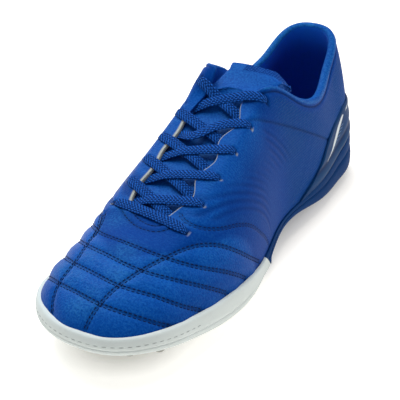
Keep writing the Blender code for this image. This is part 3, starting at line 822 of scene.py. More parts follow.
def rubber_finish(name, colour, dark, roughness, gloss, tint=WHITE):
    """Moulded rubber with a faint texture, darker in patches towards the bottom."""
    rubber = Finish(name, gloss, tint)
    fine = rubber.noise(1800.0, 2.0)
    scuff = ((rubber.noise(260.0, 5.0, 0.7) - 0.58) * 6.0).clamp() * 0.35
    # Darker in patches towards the bottom
    low = (1.0 - rubber.place("Z") / 14.0).clamp() * rubber.noise(160.0, 3.0)
    base = rubber.mix(rubber.noise(45.0, 4.0) * 0.3, colour, dark)
    base = rubber.mix(scuff, base, dark)
    rubber.set("Base Color", rubber.mix((low * 0.6).clamp(), base, dark))
    rubber.set("Roughness", fine * 0.2 + (roughness - 0.1))
    rubber.bump(fine + rubber.noise(300.0) * 0.5, 0.25, 0.12)
    return rubber


def lace_finish():
    """Flat woven lace: plaited yarn, with painted highlights on its tops and painted shade in its gaps."""
    lace = Finish("woven_lace", 0.25, BLUE_GLOSS, roughness=0.78)
    length = lace.mark("along") + lace.noise(260.0) * 1.6
    across = lace.mark("across") + lace.noise(330.0) * 0.9
    plait = wave(length + across.abs() * 0.9, 2.1) * wave(length - across * 1.1, 2.1)
    yarn = plait * 0.75 + wave(across, 1.4) * 0.25
    # Painted highlights on the yarn's tops and painted shade in its gaps
    shade = lace.mix((yarn * 1.5 - 0.15).clamp(), (0.0004, 0.010, 0.085), (0.016, 0.140, 0.62))
    lace.set("Base Color", lace.mix(lace.noise(700.0) * 0.35, shade, BLUE_DEEP))
    lace.bump(yarn * 1.4 + lace.noise(2500.0) * 0.3, 0.8, 0.5)
    return lace


def tongue_finish():
    """Soft tongue leather with a finer grain, and a knitted edge along its top."""
    tongue = Finish("tongue_leather", 0.18, BLUE_GLOSS)
    edge = tongue.mark("edge")
    weave = check(tongue, (1.5, 1.5))
    fine = tongue.noise(920.0, 2.0, 0.7)
    grain = tongue.noise(1300.0, 3.0)
    base = tongue.mix(tongue.noise(80.0, 3.0), BLUE, (0.0045, 0.085, 0.41))
    base = tongue.mix(((fine - 0.5) * 7.0).clamp() * 0.35, base, BLUE_WORN_SHEEN)
    base = tongue.mix(((0.5 - fine) * 6.0).clamp() * 0.5, base, BLUE_DEEP)
    textile = tongue.mix((weave * 0.8 + fine * 1.6 - 0.75).clamp(), BLUE_DEEP, (0.016, 0.105, 0.44))
    tongue.set("Base Color", tongue.mix(edge, base, textile))
    tongue.bump(grain * 0.4 + weave * edge * 1.6 + tongue.cells(700.0) * 0.3, 0.5, 0.3)
    tongue.set("Roughness", grain * 0.15 + edge * 0.25 + 0.42)
    return tongue


def counter_finish():
    """Moulded heel shell: ridges with painted highlights on their crests and painted shade in the groove, a
    pale stripe and a hatched band behind it.
    """
    shell = Finish("heel_shell", 0.05, BLUE_GLOSS)
    band, ridge_light_and_shade = shell.mark("band"), shell.mark("ridge_light_and_shade")
    hatch = ((wave(shell.mark("hatch"), 2.8) - 0.3) * 2.5).clamp()
    fine = shell.noise(1500.0)
    base = shell.mix(shell.noise(80.0, 3.0) * 0.6, (0.006, 0.042, 0.145), (0.003, 0.026, 0.10))
    # Painted light on the ridges: lighter on their crests, navy in the groove between
    base = shell.mix((ridge_light_and_shade * 0.9).clamp(), base, (0.014, 0.068, 0.19))
    base = shell.mix((ridge_light_and_shade * -2.0).clamp() * 0.7, base, NAVY)
    base = shell.mix(band * 0.8, base, shell.mix(hatch, (0.10, 0.21, 0.40), NAVY))
    shell.set("Base Color", shell.mix(shell.mark("stripe"), base, (0.68, 0.73, 0.76)))
    shell.bump(fine * 0.4 + band * hatch * 1.4, 0.4, 0.4)
    shell.set("Roughness", fine * 0.2 + 0.36)
    return shell


def foam_finish():
    """Textile over the insole's foam."""
    foam = Finish("insole_cloth", 0.2, roughness=0.9, sheen_weight=0.2)
    weave = wave(foam.place("X") + foam.place("Y"), 1.2) * wave(foam.place("X") - foam.place("Y"), 1.2)
    foam.set("Base Color", foam.mix(weave, LINING_BLUE, (0.002, 0.018, 0.11)))
    foam.bump(weave + foam.noise(800.0) * 0.5, 0.5, 0.3)
    return foam


# Upper

def core(station):
    """Points in the middle of the shoe, from which outward is measured."""
    return xyz(LAST["spine"](station), station, np.full_like(station, 30.0))


class Skin:
    """The upper's bare outer sheet: its grid of points, normals and a tree to seat seams on."""

    def __init__(self):
        u, self.side = around(ring_columns(COLUMN_STEP))
        self.rim = rim_v(u, self.side)
        self.vamp = self.rim >= 1.0
        self.share = np.linspace(0, 1, OUTER_ROWS + 1)[:, None]
        x, s, z = last_point(u[None], self.rim[None] * self.share, self.side[None])
        lean = smooth((108 - s) / 16) * smooth((s - 58) / 20) * smooth((z - 68) / 18)
        self.points = xyz(x + FLAP_LEAN * lean * (self.side[None] < 0), s, z)
        normal = unit(np.cross(np.gradient(self.points, axis=1), np.gradient(self.points, axis=0)))
        normal *= np.sign((normal * (self.points - core(s))).sum(-1).mean())
        top = normal[-2] + normal[-2, ::-1]
        top[u >= 2] = top[u >= 2].sum(0)
        normal[-1] = np.where(self.vamp[:, None], unit(top), normal[-1])
        normal[:, 0] = normal[:, -1] = unit(normal[:, 0] + normal[:, -1])
        self.normal = normal
        index = np.arange(s.size).reshape(s.shape)
        faces = xyz(index[:-1, :-1], index[:-1, 1:], index[1:, 1:], index[1:, :-1])
        self.tree = BVHTree.FromPolygons(self.points.reshape(-1, 3).tolist(), faces.reshape(-1, 4).tolist())

    def seat(self, seam):
        """A seam's smooth run of points on the sheet, with the sheet's normals there."""
        run = trace([(x, s, z) for s, x, z in seam])
        spots = [self.tree.find_nearest(Vector(p))[:2] for p in run]
        points, normals = (np.array(values) for values in zip(*spots))
        turn = np.sign(((points - core(points[:, 1])) * normals).sum(1))
        return points, normals * turn[:, None]

    def distance(self, *seams):
        """Distance of every point of the sheet to the nearest of some seams."""
        every = np.concatenate([self.seat(seam)[0] for seam in seams])
        tree = KDTree(len(every))
        for i, point in enumerate(every):
            tree.insert(point, i)
        tree.balance()
        flat = self.points.reshape(-1, 3)
        return np.array([tree.find(p)[2] for p in flat]).reshape(self.points.shape[:2])


def eyelet(index, side):
    """Sideways offset from the spine and station of an eyelet, counted from the toe."""
    first, last = EYELET_ENDS[side]
    station = first + (last - first) * index / (EYELET_COUNT - 1)
    return side * (float(by_side(THROAT, station, side)) + EYELET_INSET[side]), station


def build_upper(skin):
    """The hollow upper: quilted vamp, rippled quarter, padded collar, cut throat edge and lining."""
    points, normal = skin.points, skin.normal
    x, s, z = np.moveaxis(points, -1, 0)
    side = np.repeat(skin.side[None], len(points), 0)
    quilt = skin.distance(*QUILT_SEAMS)
    double = skin.distance(*QUARTER_SEAMS)
    panel = skin.distance(COLLAR_SEAM, mirrored(COLLAR_SEAM))
    strip = skin.distance(THROAT_STRIP)
    seam_height = np.interp(s, *zip(*sorted((row[0], row[2]) for row in COLLAR_SEAM)))
    girth = running_length(points)
    from_rim = girth[-1:] - girth
    open_top = skin.rim < 1.0

    # Masks of the rims, the vamp and its worn places, and of the painted light on them
    collar_rim = open_top * smooth((THROAT_TOP + 4 - s) / 8)
    throat_rim = open_top * smooth((s - THROAT_TOP - 6) / 8)
    bare = smooth((s - np.where(side > 0, 119, 132)) / 6)
    pale = smooth((np.where(side > 0, 0.6, 1.8) - from_rim) / 0.6) * throat_rim * bare
    # Painted highlight: a thin light line along the collar's edge
    rim_edge_highlight = 0.8 * smooth(1.5 - from_rim) * collar_rim
    wear_and_sheen = rim_edge_highlight
    # Worn places on the vamp, painted lighter as sheen
    for station, aside, height, reach, share in WEAR_AND_SHEEN:
        far = np.linalg.norm(points - (aside, station, height), axis=-1)
        wear_and_sheen = np.maximum(wear_and_sheen, share * bell(far, reach))
    arc_station = np.interp(np.abs(x), [5, 21.5, 35, 46], [236, 222, 197, 165])
    on_vamp = smooth((s - arc_station + 6) / 8)
    # The vamp mark: the vamp's own lighter leather, plus painted light towards the throat edge and on the
    # vamp's higher parts
    vamp_and_painted_light = np.maximum(rim_edge_highlight, 0.8 * smooth((28 - from_rim) / 18) * throat_rim)
    vamp_and_painted_light = np.maximum(vamp_and_painted_light, on_vamp * (0.5 + 0.5 * smooth((z - 27) / 18)))

    # Relief: quilting, seams, raised panel and strip, piped rim and eyelets
    over_panel = smooth((z - seam_height) / 12) * smooth((128 - s) / 14)
    relief = PUFF_HEIGHT * (1 - bell(quilt, PUFF_REACH)) * on_vamp - TROUGH_DEPTH * bell(quilt, TROUGH_WIDTH)
    relief += 0.6 * np.exp(-(strip / 1.3) ** 4) - 0.55 * bell(double, 1.3) - 0.5 * bell(panel, 1.0)
    relief += 0.9 * over_panel * smooth(from_rim / 6) * smooth((s - 14) / 30)
    relief += (0.5 * bell(from_rim - 1.2, 1.5) - 0.6 * bell(from_rim - RIM_SEAM, 0.7)) * collar_rim
    hole = np.zeros_like(x)
    painted_glint = np.zeros_like(x)
    for index in range(EYELET_COUNT):
        for way in (LATERAL, MEDIAL):
            offset, station = eyelet(index, way)
            dx = (x - LAST["spine"](s) - offset) * way
            ds = s - station
            # Eyelet holes: a dent, with painted shade in it
            near = np.hypot(dx / 2.5, ds / 1.3)
            hole = np.maximum(hole, smooth((1.25 - near) / 0.5) * (side == way))
            # A painted glint at the outer end of each eyelet but the top ones
            if index < EYELET_COUNT - 1:
                spot = np.hypot((dx - 2.7) / 0.5, ds / 0.75)
                painted_glint = np.maximum(painted_glint, smooth((1.3 - spot) / 0.6) * (side == way))
    relief = (relief - 1.3 * hole) * smooth(girth / 4)
    # Dark seam lines, with painted shade in the troughs of the quilting, the seams and the strip's edge
    groove = 0.45 * bell(quilt, 0.9) + 0.5 * bell(double, 0.9) + 0.6 * bell(panel, 0.7)
    groove += 0.8 * bell(from_rim - RIM_SEAM, 0.6) * collar_rim + 0.5 * bell(strip - 2.2, 0.6)

    # Pressed patterns of the quarter: arched ripples, and a knurl behind them
    ripple = np.hypot(s - RIPPLE_STATION, z - RIPPLE_HEIGHT) - RIPPLE_START
    seam_station = np.interp(z, [17, 33, 43, 51, 54, 59], [140, 152, 165, 178, 187, 196])
    behind_seam = 1 - smooth((s - seam_station + 5) / 6)
    below_panel = 1 - smooth((z - seam_height + 5) / 6) * smooth((131 - s) / 6)
    low_or_back = np.maximum(smooth((68 - z) / 8), smooth((128 - s) / 8))
    ripple_mask = smooth((ripple - 40) / 6) * smooth((95 - ripple) / 8) * (1 - 0.6 * bell(ripple - 70, 9))
    ripple_mask = ripple_mask * np.maximum(smooth((s - 132) / 12), smooth((z - 48) / 10))
    ripple_mask = ripple_mask * behind_seam * below_panel * low_or_back
    knurl_mask = np.maximum(smooth((122 - s) / 26), 0.25 * behind_seam * (1 - ripple_mask))
    knurl_mask = knurl_mask * smooth((from_rim - 4) / 4)

    # Outer sheet, rounded crest and lining as one grid
    high = smooth((skin.share - PAD_REACH) / (1 - PAD_REACH) * 1.6)
    depth = WALL + COLLAR_PAD * high * smooth((PAD_FRONT - s) / PAD_FADE)
    outer = points + normal * relief[..., None]
    inner_rows = np.linspace(OUTER_ROWS, 0, INNER_ROWS + 1).round().astype(int)
    inner = (points - normal * depth[..., None])[inner_rows]
    away = points[-1] - points[-3]
    away = unit(away - normal[-1] * (away * normal[-1]).sum(1, keepdims=True))
    lift = depth[-1] * (0.08 + 0.40 * smooth((PAD_FRONT + 14 - s[-1]) / 14))
    crest = half_round(outer[-1], inner[0], away * lift[:, None], CREST_ROWS)
    grid = np.concatenate((outer, crest, inner, outer[:1]))
    lined = OUTER_ROWS + CREST_ROWS
    shape = grid.shape[:2]

    def spread(values, on_crest=0.0):
        """Values of the outer sheet, and one row's for the crest."""
        full = np.zeros(shape)
        full[:OUTER_ROWS + 1] = values
        full[OUTER_ROWS + 1:lined] = on_crest
        return full

    # Painted highlight on the collar's rounded crest, stronger on the medial side
    rim_highlight = collar_rim[-1] * np.where(skin.side > 0, 0.5, 1.0)
    # Painted light on the lining near the collar's rim
    rim_painted_light = np.zeros(shape)
    rim_painted_light[lined:-1] = bell(running_length(inner), 13.0) * collar_rim[-1]
    attributes = {
        "groove": spread(groove), "hole": spread(hole), "wear_and_sheen": spread(wear_and_sheen, rim_highlight),
        "vamp": spread(vamp_and_painted_light, rim_highlight),
        # The cut mark holds the pale cut edges and the painted eyelet glints
        "cut": spread(np.maximum(painted_glint * 0.7, pale * 0.9), bare[-1] * open_top),
        "ripple": spread(ripple), "ripple_mask": spread(ripple_mask), "knurl_mask": spread(knurl_mask),
        "run": np.broadcast_to(running_length(points, 1)[OUTER_ROWS // 2], shape),
        "girth": running_length(grid), "rim_painted_light": rim_painted_light,
    }
    drop = np.zeros((shape[0] - 1, shape[1] - 1), bool)
    drop[OUTER_ROWS:lined] = skin.vamp[:-1] & skin.vamp[1:]
    slots = np.zeros(drop.shape, int)
    slots[lined - 1:-1] = 1
    return lay_grid("upper_shell", grid, attributes, drop, slots)


# Sole

def sole_piece(name, values, profile):
    """A sole piece as a closed loft: underside, profiled side, lip and inside floor."""
    u, side = around(values)
    s, half, _ = plan(u)
    floor = LAST["floor"](s)
    edge = SOLE["edge"](s)
    top = floor + SOLE["lip"](s)
    fade = 1 - smooth(np.abs(s - SPLIT_STATION) / SPLIT_FADE)
    inset = -np.minimum(BOTTOM_INSET, BOTTOM_INSET * half + 1.5)
    rings = [(edge, inset, inward) for inward in FLOOR_SHARES[::-1]]
    rings += [(edge + share * (top - edge), GAP + out * SOLE["outset"](s), 1.0) for share, out in profile]
    rings += [(floor - GAP + share * (top - floor + GAP), GAP, 1.0) for share in (1.0, 0.5, 0.0)]
    rings += [(floor - GAP, GAP, inward) for inward in FLOOR_SHARES[1:]]
    return lay_grid(name, np.array([ring_at(u, side, *ring, fade) for ring in rings]))


def build_studs(name, rows):
    """Rows of tapered studs with softened edges, modelled once and copied."""
    choose()
    bpy.ops.mesh.primitive_cone_add(vertices=24, radius1=STUD_TIP, radius2=STUD_ROOT, depth=1.0)
    stud = bpy.context.object
    edit(stud, face_outward)
    soften_edges(stud, STUD_ROUND, 2, 30)
    places = []
    for index, station in enumerate(rows):
        edge = float(SOLE["edge"](station))
        tip = 0.0 if edge < STUD_FLAT_EDGE else edge - STUD_LENGTH
        toe = max(station - TOE_CENTRE, 0) / (TOE_TIP - TOE_CENTRE)
        heel = max(HEEL_CENTRE - station, 0) / (HEEL_CENTRE - HEEL_BACK)
        share = (1 - toe ** TOE_ROUND) ** (1 / TOE_ROUND) * (1 - heel ** HEEL_ROUND) ** (1 / HEEL_ROUND)
        left = LAST["spine"](station) - LAST["medial"](station) * share + STUD_MARGIN
        right = LAST["spine"](station) + LAST["lateral"](station) * share - STUD_MARGIN
        count = max(2, int((right - left) / STUD_PITCH) + 1 - index % 2)
        inset = (index % 2) * STUD_PITCH / 4
        root = edge + STUD_SINK
        stretch = (0, 0, root - tip, (root + tip) / 2)
        for x in np.linspace(left + inset, right - inset, count):
            places.append(((1, 0, 0, x), (0, 1, 0, station), stretch, (0, 0, 0, 1)))
    return copies(name, stud, places)


# Tongue and lace

def instep_height(offset, station):
    """Height of the last with its ridge flattened to the tongue's crest."""
    crest = TONGUE["crest"](station) - TONGUE_DROP * (offset / 25.0) ** 2
    lean = TONGUE_LEAN * np.maximum(94 - station, 0) * smooth((offset - 16) / 12)
    lean = lean + TONGUE_SLOPE * np.maximum(offset + 6, 0)
    return np.minimum(last_height(offset, station), crest - lean * smooth((122 - station) / 22))


def over(height, offset, station, lift):
    """Points lifted off a surface, given by its height function, along its normal, and the normals."""
    step = 0.5
    slope_x = (height(offset + step, station) - height(offset - step, station)) / (2 * step)
    slope_s = (height(offset, station + step) - height(offset, station - step)) / (2 * step)
    normal = unit(xyz(-slope_x, -slope_s, np.ones_like(slope_x)))
    base = xyz(LAST["spine"](station) + offset, station, height(offset, station))
    return base + normal * np.asarray(lift)[..., None], normal


def build_tongue():
    """The padded tongue: a crowned sheet with rounded edges and a textile edge at its top."""
    t = np.linspace(0, 1, TONGUE_ROWS + 1)[:, None]
    w = np.linspace(-1, 1, TONGUE_ACROSS + 1)[None]
    top_end = TONGUE_TOP[MEDIAL] + (TONGUE_TOP[LATERAL] - TONGUE_TOP[MEDIAL]) * (w + 1) / 2
    top_end = top_end + TONGUE_CORNER * np.clip((w - 0.7) / 0.3, 0, 1) ** 2
    spread = TONGUE_FOOT + (top_end - TONGUE_FOOT) * t
    left, right = -TONGUE["medial"](spread), TONGUE["lateral"](spread)
    offset = (left + right) / 2 + (right - left) / 2 * w
    top, normal = over(instep_height, offset, spread, -(WALL + TONGUE_CLEAR))
    edge = np.minimum(1 - np.abs(w), np.minimum(t, 1 - t) * 3.2)
    pads = 0.25 * np.cos(2 * math.pi * (spread - TONGUE_TOP[MEDIAL]) / 22)
    top = top + normal * (0.55 * smooth(edge / 0.5) - 0.35 + pads * smooth(edge / 0.3))[..., None]
    bottom = top - normal * (TONGUE_THICKNESS - 0.6 * (1 - smooth(edge / 0.15)))[..., None]
    bulge = TONGUE_THICKNESS / 2 * 0.7
    right_roll = half_round(top[:, -1], bottom[:, -1], unit(top[:, -1] - top[:, -2]) * bulge, TONGUE_EDGE)
    left_roll = half_round(bottom[:, 0], top[:, 0], unit(top[:, 0] - top[:, 1]) * bulge, TONGUE_EDGE)
    rolls = [np.moveaxis(roll, 0, 1) for roll in (right_roll, left_roll)]
    grid = np.concatenate((top, rolls[0], bottom[:, ::-1], rolls[1], top[:, :1]), 1)
    band = smooth((top_end + TEXTILE_BAND - spread) / 1.5) * smooth((w + 0.6) / 0.1)
    last, roll = TONGUE_ACROSS, TONGUE_EDGE - 1
    textile = band[:, [*range(last + 1), *[last] * roll, *range(last, -1, -1), *[0] * roll, 0]]
    textile[:, last + 4:-4] = 1.0
    attributes = {"run": running_length(grid, 1), "girth": running_length(grid), "edge": textile}
    tongue = lay_grid("tongue_pad", grid, attributes)
    soften_edges(tongue, 0.9 * MM, 3, 60)
    return tongue


def taut_height(offset, station, t):
    """Height of a strip pulled straight across the throat between the two edges that it rests on."""
    height = last_height(offset, station)
    half = by_side(THROAT, station, np.sign(offset) + 0.5) - 1.0
    first, *_, last = np.flatnonzero(np.abs(offset) < half)
    chord = np.interp(t, (t[first], t[last]), (height[first], height[last]))
    height[first:last + 1] = np.minimum(height, chord)[first:last + 1]
    return np.convolve(np.pad(height, 3, mode="edge"), np.ones(7) / 7, "valid")


def lace_strip(start, end, start_under, top_layer, slack):
    """One flat strip from eyelet to eyelet: it comes up from under one edge and dives into a hole."""
    t = np.linspace(0, 1, LACE_STEPS + 1)
    end = (end[0] + math.copysign(LACE_REACH, end[0]), end[1])
    offset = start[0] + (end[0] - start[0]) * t
    station = start[1] + (end[1] - start[1]) * t + slack * bell(t - 0.43, 0.17)
    sag = last_height(offset, station) - taut_height(offset, station, t)
    beneath, above = -(WALL + LACE_THICKNESS / 2 + 0.1), LACE_THICKNESS / 2 + 0.15
    lift = beneath + (above - beneath) * (smooth((t - 0.13) / 0.30) if start_under else 1.0)
    lift = lift + (0.5 if top_layer else -0.75) * bell(t - 0.5, 0.17)
    lift = lift + 0.8 * smooth((124 - station) / 8) * smooth((offset - 10) / 4)
    length = math.dist(start, end)
    to_end = (1 - t) * length
    dive = 1 - smooth((to_end + 0.6) / 3.0)
    width = LACE_WIDTH * (1 - 0.42 * (1 - smooth(to_end / 7)))
    if not start_under:
        dive = np.maximum(dive, 1 - smooth((t * length + 0.6) / 3.6))
        width = width * (1 - 0.42 * (1 - smooth(t * length / 7)))
    centre, normal = over(last_height, offset, station, lift - 2.6 * dive)
    centre[:, 2] -= sag
    ahead = unit(np.gradient(centre, axis=0))
    side_way = unit(np.cross(normal, ahead))
    up = np.cross(ahead, side_way)
    rings, across = [], []
    for turn in np.linspace(0, 2 * math.pi, LACE_SIDES + 1):
        c, q = math.cos(turn), math.sin(turn)
        flat = math.copysign(abs(c) ** 0.7, c)
        thick = math.copysign(abs(q) ** 0.8, q)
        rings.append(centre + side_way * (flat * width / 2)[:, None] + up * (thick * LACE_THICKNESS / 2))
        across.append(np.full_like(t, flat * LACE_WIDTH / 2))
    return np.array(rings), {"along": np.tile(t * length, (LACE_SIDES + 1, 1)), "across": across}


def build_lace():
    """The bottom bar and the crossings, run through the eyelets as flat woven strips."""
    runs = [(eyelet(0, MEDIAL), eyelet(0, LATERAL), False, True)]
    for i in range(EYELET_COUNT - 1):
        runs.append((eyelet(i, LATERAL), eyelet(i + 1, MEDIAL), True, False))
        runs.append((eyelet(i, MEDIAL), eyelet(i + 1, LATERAL), True, True))
    strips = []
    for number, run in enumerate(runs):
        slack = LOOSE_SLACK if number == LOOSE_STRIP else 0.0
        strips.append(lay_grid(f"lace_strip_{number}", *lace_strip(*run, slack)))
    choose(*strips)
    bpy.ops.object.join()
    strips[0].name = "lace_weave"
    return strips[0]


# Heel counter

def build_counter():
    """The moulded heel shell with its flowing ridges, pale stripe and hatched band."""
    u, side = around(ring_columns(1.0, 0.0, u_at(COUNTER_FRONT)))
    s = plan(u)[0]
    low = LAST["floor"](s) + SOLE["lip"](s) + COUNTER_FOOT
    heights = np.linspace(12, COUNTER_TOP, 400)
    fronts = COUNTER["front"](heights)
    high = np.where(s <= fronts[-1], COUNTER_TOP, np.interp(-s, -fronts, heights))
    keep = high - low > 0.35
    u, side, low, high = u[keep], side[keep], low[keep], high[keep]
    share = np.linspace(0, 1, COUNTER_ROWS + 1)[:, None]
    height = low + (high - low) * share
    x, station, out_x, out_s = outline_at(np.broadcast_to(u, height.shape), side, height)
    surface = xyz(x, station, height)
    out = xyz(out_x, out_s, np.zeros(height.shape))
    rise = height - low
    ridge = 0.55 * bell(rise - 3.6, 2.2) - 0.35 * bell(rise - 8.2, 1.6) + 0.30 * bell(rise - 12.5, 2.2)
    ridge = ridge * smooth((high - low) / 10)
    edge = np.minimum(smooth(share / 0.06), smooth((1 - share) / 0.06))
    thick = COUNTER_THICKNESS * (0.35 + 0.65 * edge) + ridge * edge
    outer = surface + out * (GAP + thick)[..., None]
    grid = np.concatenate((outer, (surface + out * GAP)[::-1], outer[:1]))
    behind = np.interp(height, *zip(*STRIPE_LINE)) - station
    half = np.interp(height, *zip(*STRIPE_HALF)) * STRIPE_SLANT
    arch = np.interp(station, *zip(*STRIPE_ARCH)) - height
    stripe = smooth((half - np.abs(behind)) / 0.9 + 0.5)
    stripe = np.maximum(stripe, smooth((0.8 - np.abs(arch)) / 0.5) * smooth((27 - station) / 4))
    band = smooth((behind - half - 0.6) / 0.8) * smooth((half + 5.5 - behind) / 1.2)
    band = band * smooth((height - 28) / 3) * smooth((42 - height) / 2)
    marks = {"stripe": stripe, "band": band, "ridge_light_and_shade": ridge, "hatch": height * STRIPE_SLANT}
    attributes = {key: np.concatenate((v, np.zeros_like(v), v[:1])) for key, v in marks.items()}
    return lay_grid("heel_shell", grid, attributes)


# Insole

def build_insole():
    """The insole: a soft sheet with a dished top and rounded edges, inside the wall."""
    u, side = around(ring_columns(SOLE_STEP))
    floor = LAST["floor"](plan(u)[0])
    rings = [(0.0, 0.3, inward) for inward in FLOOR_SHARES[::-1]]
    rings += [(share * INSOLE_THICKNESS, extra, 1.0) for share, extra in INSOLE_EDGE]
    rings += [(INSOLE_THICKNESS - 0.5 * (1 - t ** 2), 1.6, t) for t in (0.9, 0.75, 0.5, 0.25, 0.0)]
    inset = WALL + INSOLE_CLEAR
    levels = [ring_at(u, side, floor + lift, -inset - extra, inward) for lift, extra, inward in rings]
    return lay_grid("insole_sheet", np.array(levels))


# Stitches

def stitch_template(length, width, height):
    """One stitch: a small rounded bead, stretched along x."""
    choose()
    bpy.ops.mesh.primitive_uv_sphere_add(segments=8, ring_count=6, radius=0.5)
    bead = bpy.context.object
    edit(bead, select_everything, lambda: bpy.ops.transform.resize(value=(length, width, height)))
    return bead


def stitch_places(points, normals, pitch, offset, lift):
    """Frames of the stitches along a run of points, shifted sideways from it."""
    run = running_length(points)
    at = np.arange(pitch / 2, run[-1], pitch)
    normal = unit(along(run, normals, at))
    ahead = unit(along(run, points, at + 0.4) - along(run, points, at - 0.4))
    aside = np.cross(normal, ahead)
    centre = along(run, points, at) + aside * offset + normal * lift
    frames = np.zeros((len(at), 4, 4))
    frames[:, :3] = xyz(ahead, aside, np.cross(ahead, aside), centre)
    frames[:, 3, 3] = 1
    return frames


def build_upper_stitches(skin):
    """Dark double rows along the quilting and the quarter seam, and along the strip below the throat."""
    rows = [(seam, QUILT_STITCH) for seam in (*QUILT_SEAMS, *QUARTER_SEAMS)]
    frames = []
    for seam, (pitch, offsets, lift) in (*rows, (THROAT_STRIP, STRIP_STITCH)):
        for offset in offsets:
            frames.append(stitch_places(*skin.seat(seam), pitch, offset, lift))
    return copies("quilt_stitching", stitch_template(*QUILT_BEAD), np.concatenate(frames))


def build_wall_stitches():
    """The row of stitches round the toe in the white wall."""
    u, side = around(ring_columns(0.8, u_at(WALL_START), 3.0))
    s = plan(u)[0]
    edge = SOLE["edge"](s)
    height = edge + WALL_SHARE * (LAST["floor"](s) + SOLE["lip"](s) - edge)
    x, station, out_x, out_s = outline_at(u, side, height)
    offset = GAP + WALL_OUT * SOLE["outset"](s)
    points = xyz(x + out_x * offset, station + out_s * offset, height)
    normals = xyz(out_x, out_s, np.zeros_like(s))
    turn = np.argsort(np.arctan2(station - TOE_CENTRE + 60, x))
    frames = stitch_places(points[turn], normals[turn], WALL_PITCH, 0.0, 0.0)
    return copies("wall_stitching", stitch_template(*WALL_BEAD), frames)


# Studio

def build_floor():
    """Pale glowing floor, with a shadow painted into its glow beneath the shoe."""
    choose()
    bpy.ops.mesh.primitive_plane_add(size=6.0, location=(0, 0, 0))
    floor = bpy.context.object
    floor.name = "studio_floor"
    pale = Finish("pale_floor", 0.1, roughness=0.9, emission_strength=FLOOR_GLOW)
    pale.set("Base Color", pale.mix(pale.noise(3.0), (0.70, 0.67, 0.62), (0.68, 0.65, 0.60)))
    # Painted shadow: the floor's glow is dimmed within a soft reach of a line under the shoe, reaching
    # further towards the heel
    y = pale.place("Y")
    past_end = ((y - SHADE_MIDDLE).abs() - SHADE_HALF).most(0.0)
    towards_heel = ((y + HEEL_SHADE_RUN) / HEEL_SHADE_RUN).clamp()
    from_shoe = (pale.place("X") ** 2.0 + past_end ** 2.0) ** 0.5 - towards_heel * HEEL_SHADE
    beneath = ((SHADE_REACH - from_shoe) / SHADE_SOFT).clamp()
    pale.set("Emission Color", pale.mix(beneath * SHADE_SHARE, (1.0, 0.985, 0.955), (0.0, 0.0, 0.0)))
    floor.data.materials.append(pale.material)


def softbox(name, spot, size, power, colour=WHITE):
    """A round soft light, aimed at the shoe."""
    light = bpy.data.lights.new(name, "AREA")
    light.color = colour
    light.shape = "DISK"
    light.size = size
    light.energy = power
    obj = bpy.data.objects.new(name, light)
    obj.location = spot
    obj.rotation_euler = (Vector((0, 0, 0.05)) - Vector(spot)).to_track_quat("-Z", "Y").to_euler()
    bpy.context.collection.objects.link(obj)


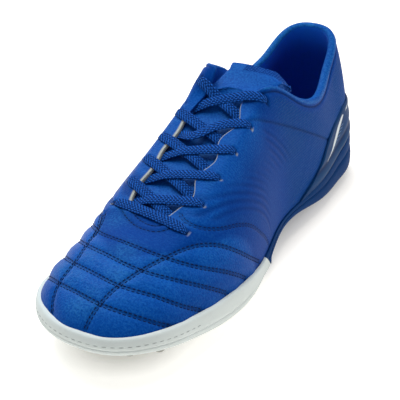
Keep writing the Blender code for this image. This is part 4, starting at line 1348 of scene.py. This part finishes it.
def build_studio():
    """Floor, soft light and the camera at the photograph's angle."""
    build_floor()
    world = bpy.data.worlds.new("studio")
    bpy.context.scene.world = world
    world.use_nodes = True
    world.node_tree.nodes["Background"].inputs[0].default_value = (0.93, 0.96, 1.0, 1.0)
    world.node_tree.nodes["Background"].inputs[1].default_value = SKY_LIGHT
    bpy.context.scene.view_settings.view_transform = "Standard"
    softbox("overhead", (-0.30, 0.20, 1.3), 1.2, 17.0)
    softbox("back_left", (-1.2, 0.6, 0.8), 0.9, 6.5, (0.68, 0.86, 1.0))
    softbox("back_right", (1.0, 1.1, 0.7), 0.9, 5.0)

    a, e, r = (math.radians(v) for v in (AZIMUTH, ELEVATION, ROLL))
    back = Vector((math.sin(a) * math.cos(e), -math.cos(a) * math.cos(e), math.sin(e)))
    level = Vector((math.cos(a), math.sin(a), 0))
    upright = back.cross(level)
    right = level * math.cos(r) + upright * math.sin(r)
    up = upright * math.cos(r) - level * math.sin(r)
    data = bpy.data.cameras.new("photo_camera")
    data.sensor_width = SENSOR
    data.lens = LENS
    data.shift_x = SHIFT_X
    data.shift_y = SHIFT_Y
    camera = bpy.data.objects.new("photo_camera", data)
    turn = Matrix((right, up, back)).transposed()
    camera.matrix_world = Matrix.Translation(Vector(LOOK_AT) * MM + back * DISTANCE * MM) @ turn.to_4x4()
    bpy.context.collection.objects.link(camera)
    bpy.context.scene.camera = camera


build_studio()
skin = Skin()
finish_piece(build_upper(skin), [leather_finish(), lining_finish()], "blue_leather", "upper")

split = u_at(SPLIT_STATION)
seam_gap = GAP / 2 / (TOE_CENTRE - HEEL_CENTRE)
white = rubber_finish("white_rubber_wall", RUBBER_WHITE, (0.50, 0.52, 0.50), 0.6, 0.35)
blue = rubber_finish("blue_rubber_sole", RUBBER_BLUE, (0.002, 0.020, 0.09), 0.6, 0.05, BLUE_GLOSS)
fore = sole_piece("forefoot_cup", ring_columns(SOLE_STEP, split + seam_gap, 3.0), FORE_SIDE)
finish_piece(fore, white, "white_rubber", "sole_forefoot", smooth_angle=35)
rear = sole_piece("rear_sole", ring_columns(SOLE_STEP, 0.0, split - seam_gap), REAR_SIDE)
finish_piece(rear, blue, "blue_rubber", "sole_rear", smooth_angle=35)
# The forefoot studs drawn dark grey-brown: painted shade beneath the sole, with dirt
stud_shade_and_dirt = rubber_finish("studs_shade_and_dirt", (0.40, 0.41, 0.38), (0.15, 0.14, 0.11), 0.7, 0.2)
finish_piece(build_studs("forefoot_studs", FORE_STUD_ROWS), stud_shade_and_dirt, "white_rubber", smooth_angle=35)
finish_piece(build_studs("heel_studs", REAR_STUD_ROWS), blue, "blue_rubber", smooth_angle=35)

tongue = finish_piece(build_tongue(), tongue_finish(), "blue_leather", "tongue")
finish_piece(build_lace(), lace_finish(), "blue_textile", "lace")
finish_piece(build_counter(), counter_finish(), "blue_rubber", "heel_counter", smooth_angle=40)
navy_thread = thread_finish("navy_thread", (0.001, 0.006, 0.036), (0.001, 0.014, 0.09))
grey_thread = thread_finish("grey_thread", (0.30, 0.33, 0.33), (0.60, 0.65, 0.64))
finish_piece(build_upper_stitches(skin), navy_thread, "blue_leather")
finish_piece(build_wall_stitches(), grey_thread, "white_rubber")
finish_piece(build_insole(), foam_finish(), "navy_foam", "insole", smooth_angle=60)

bpy.context.view_layer.update()
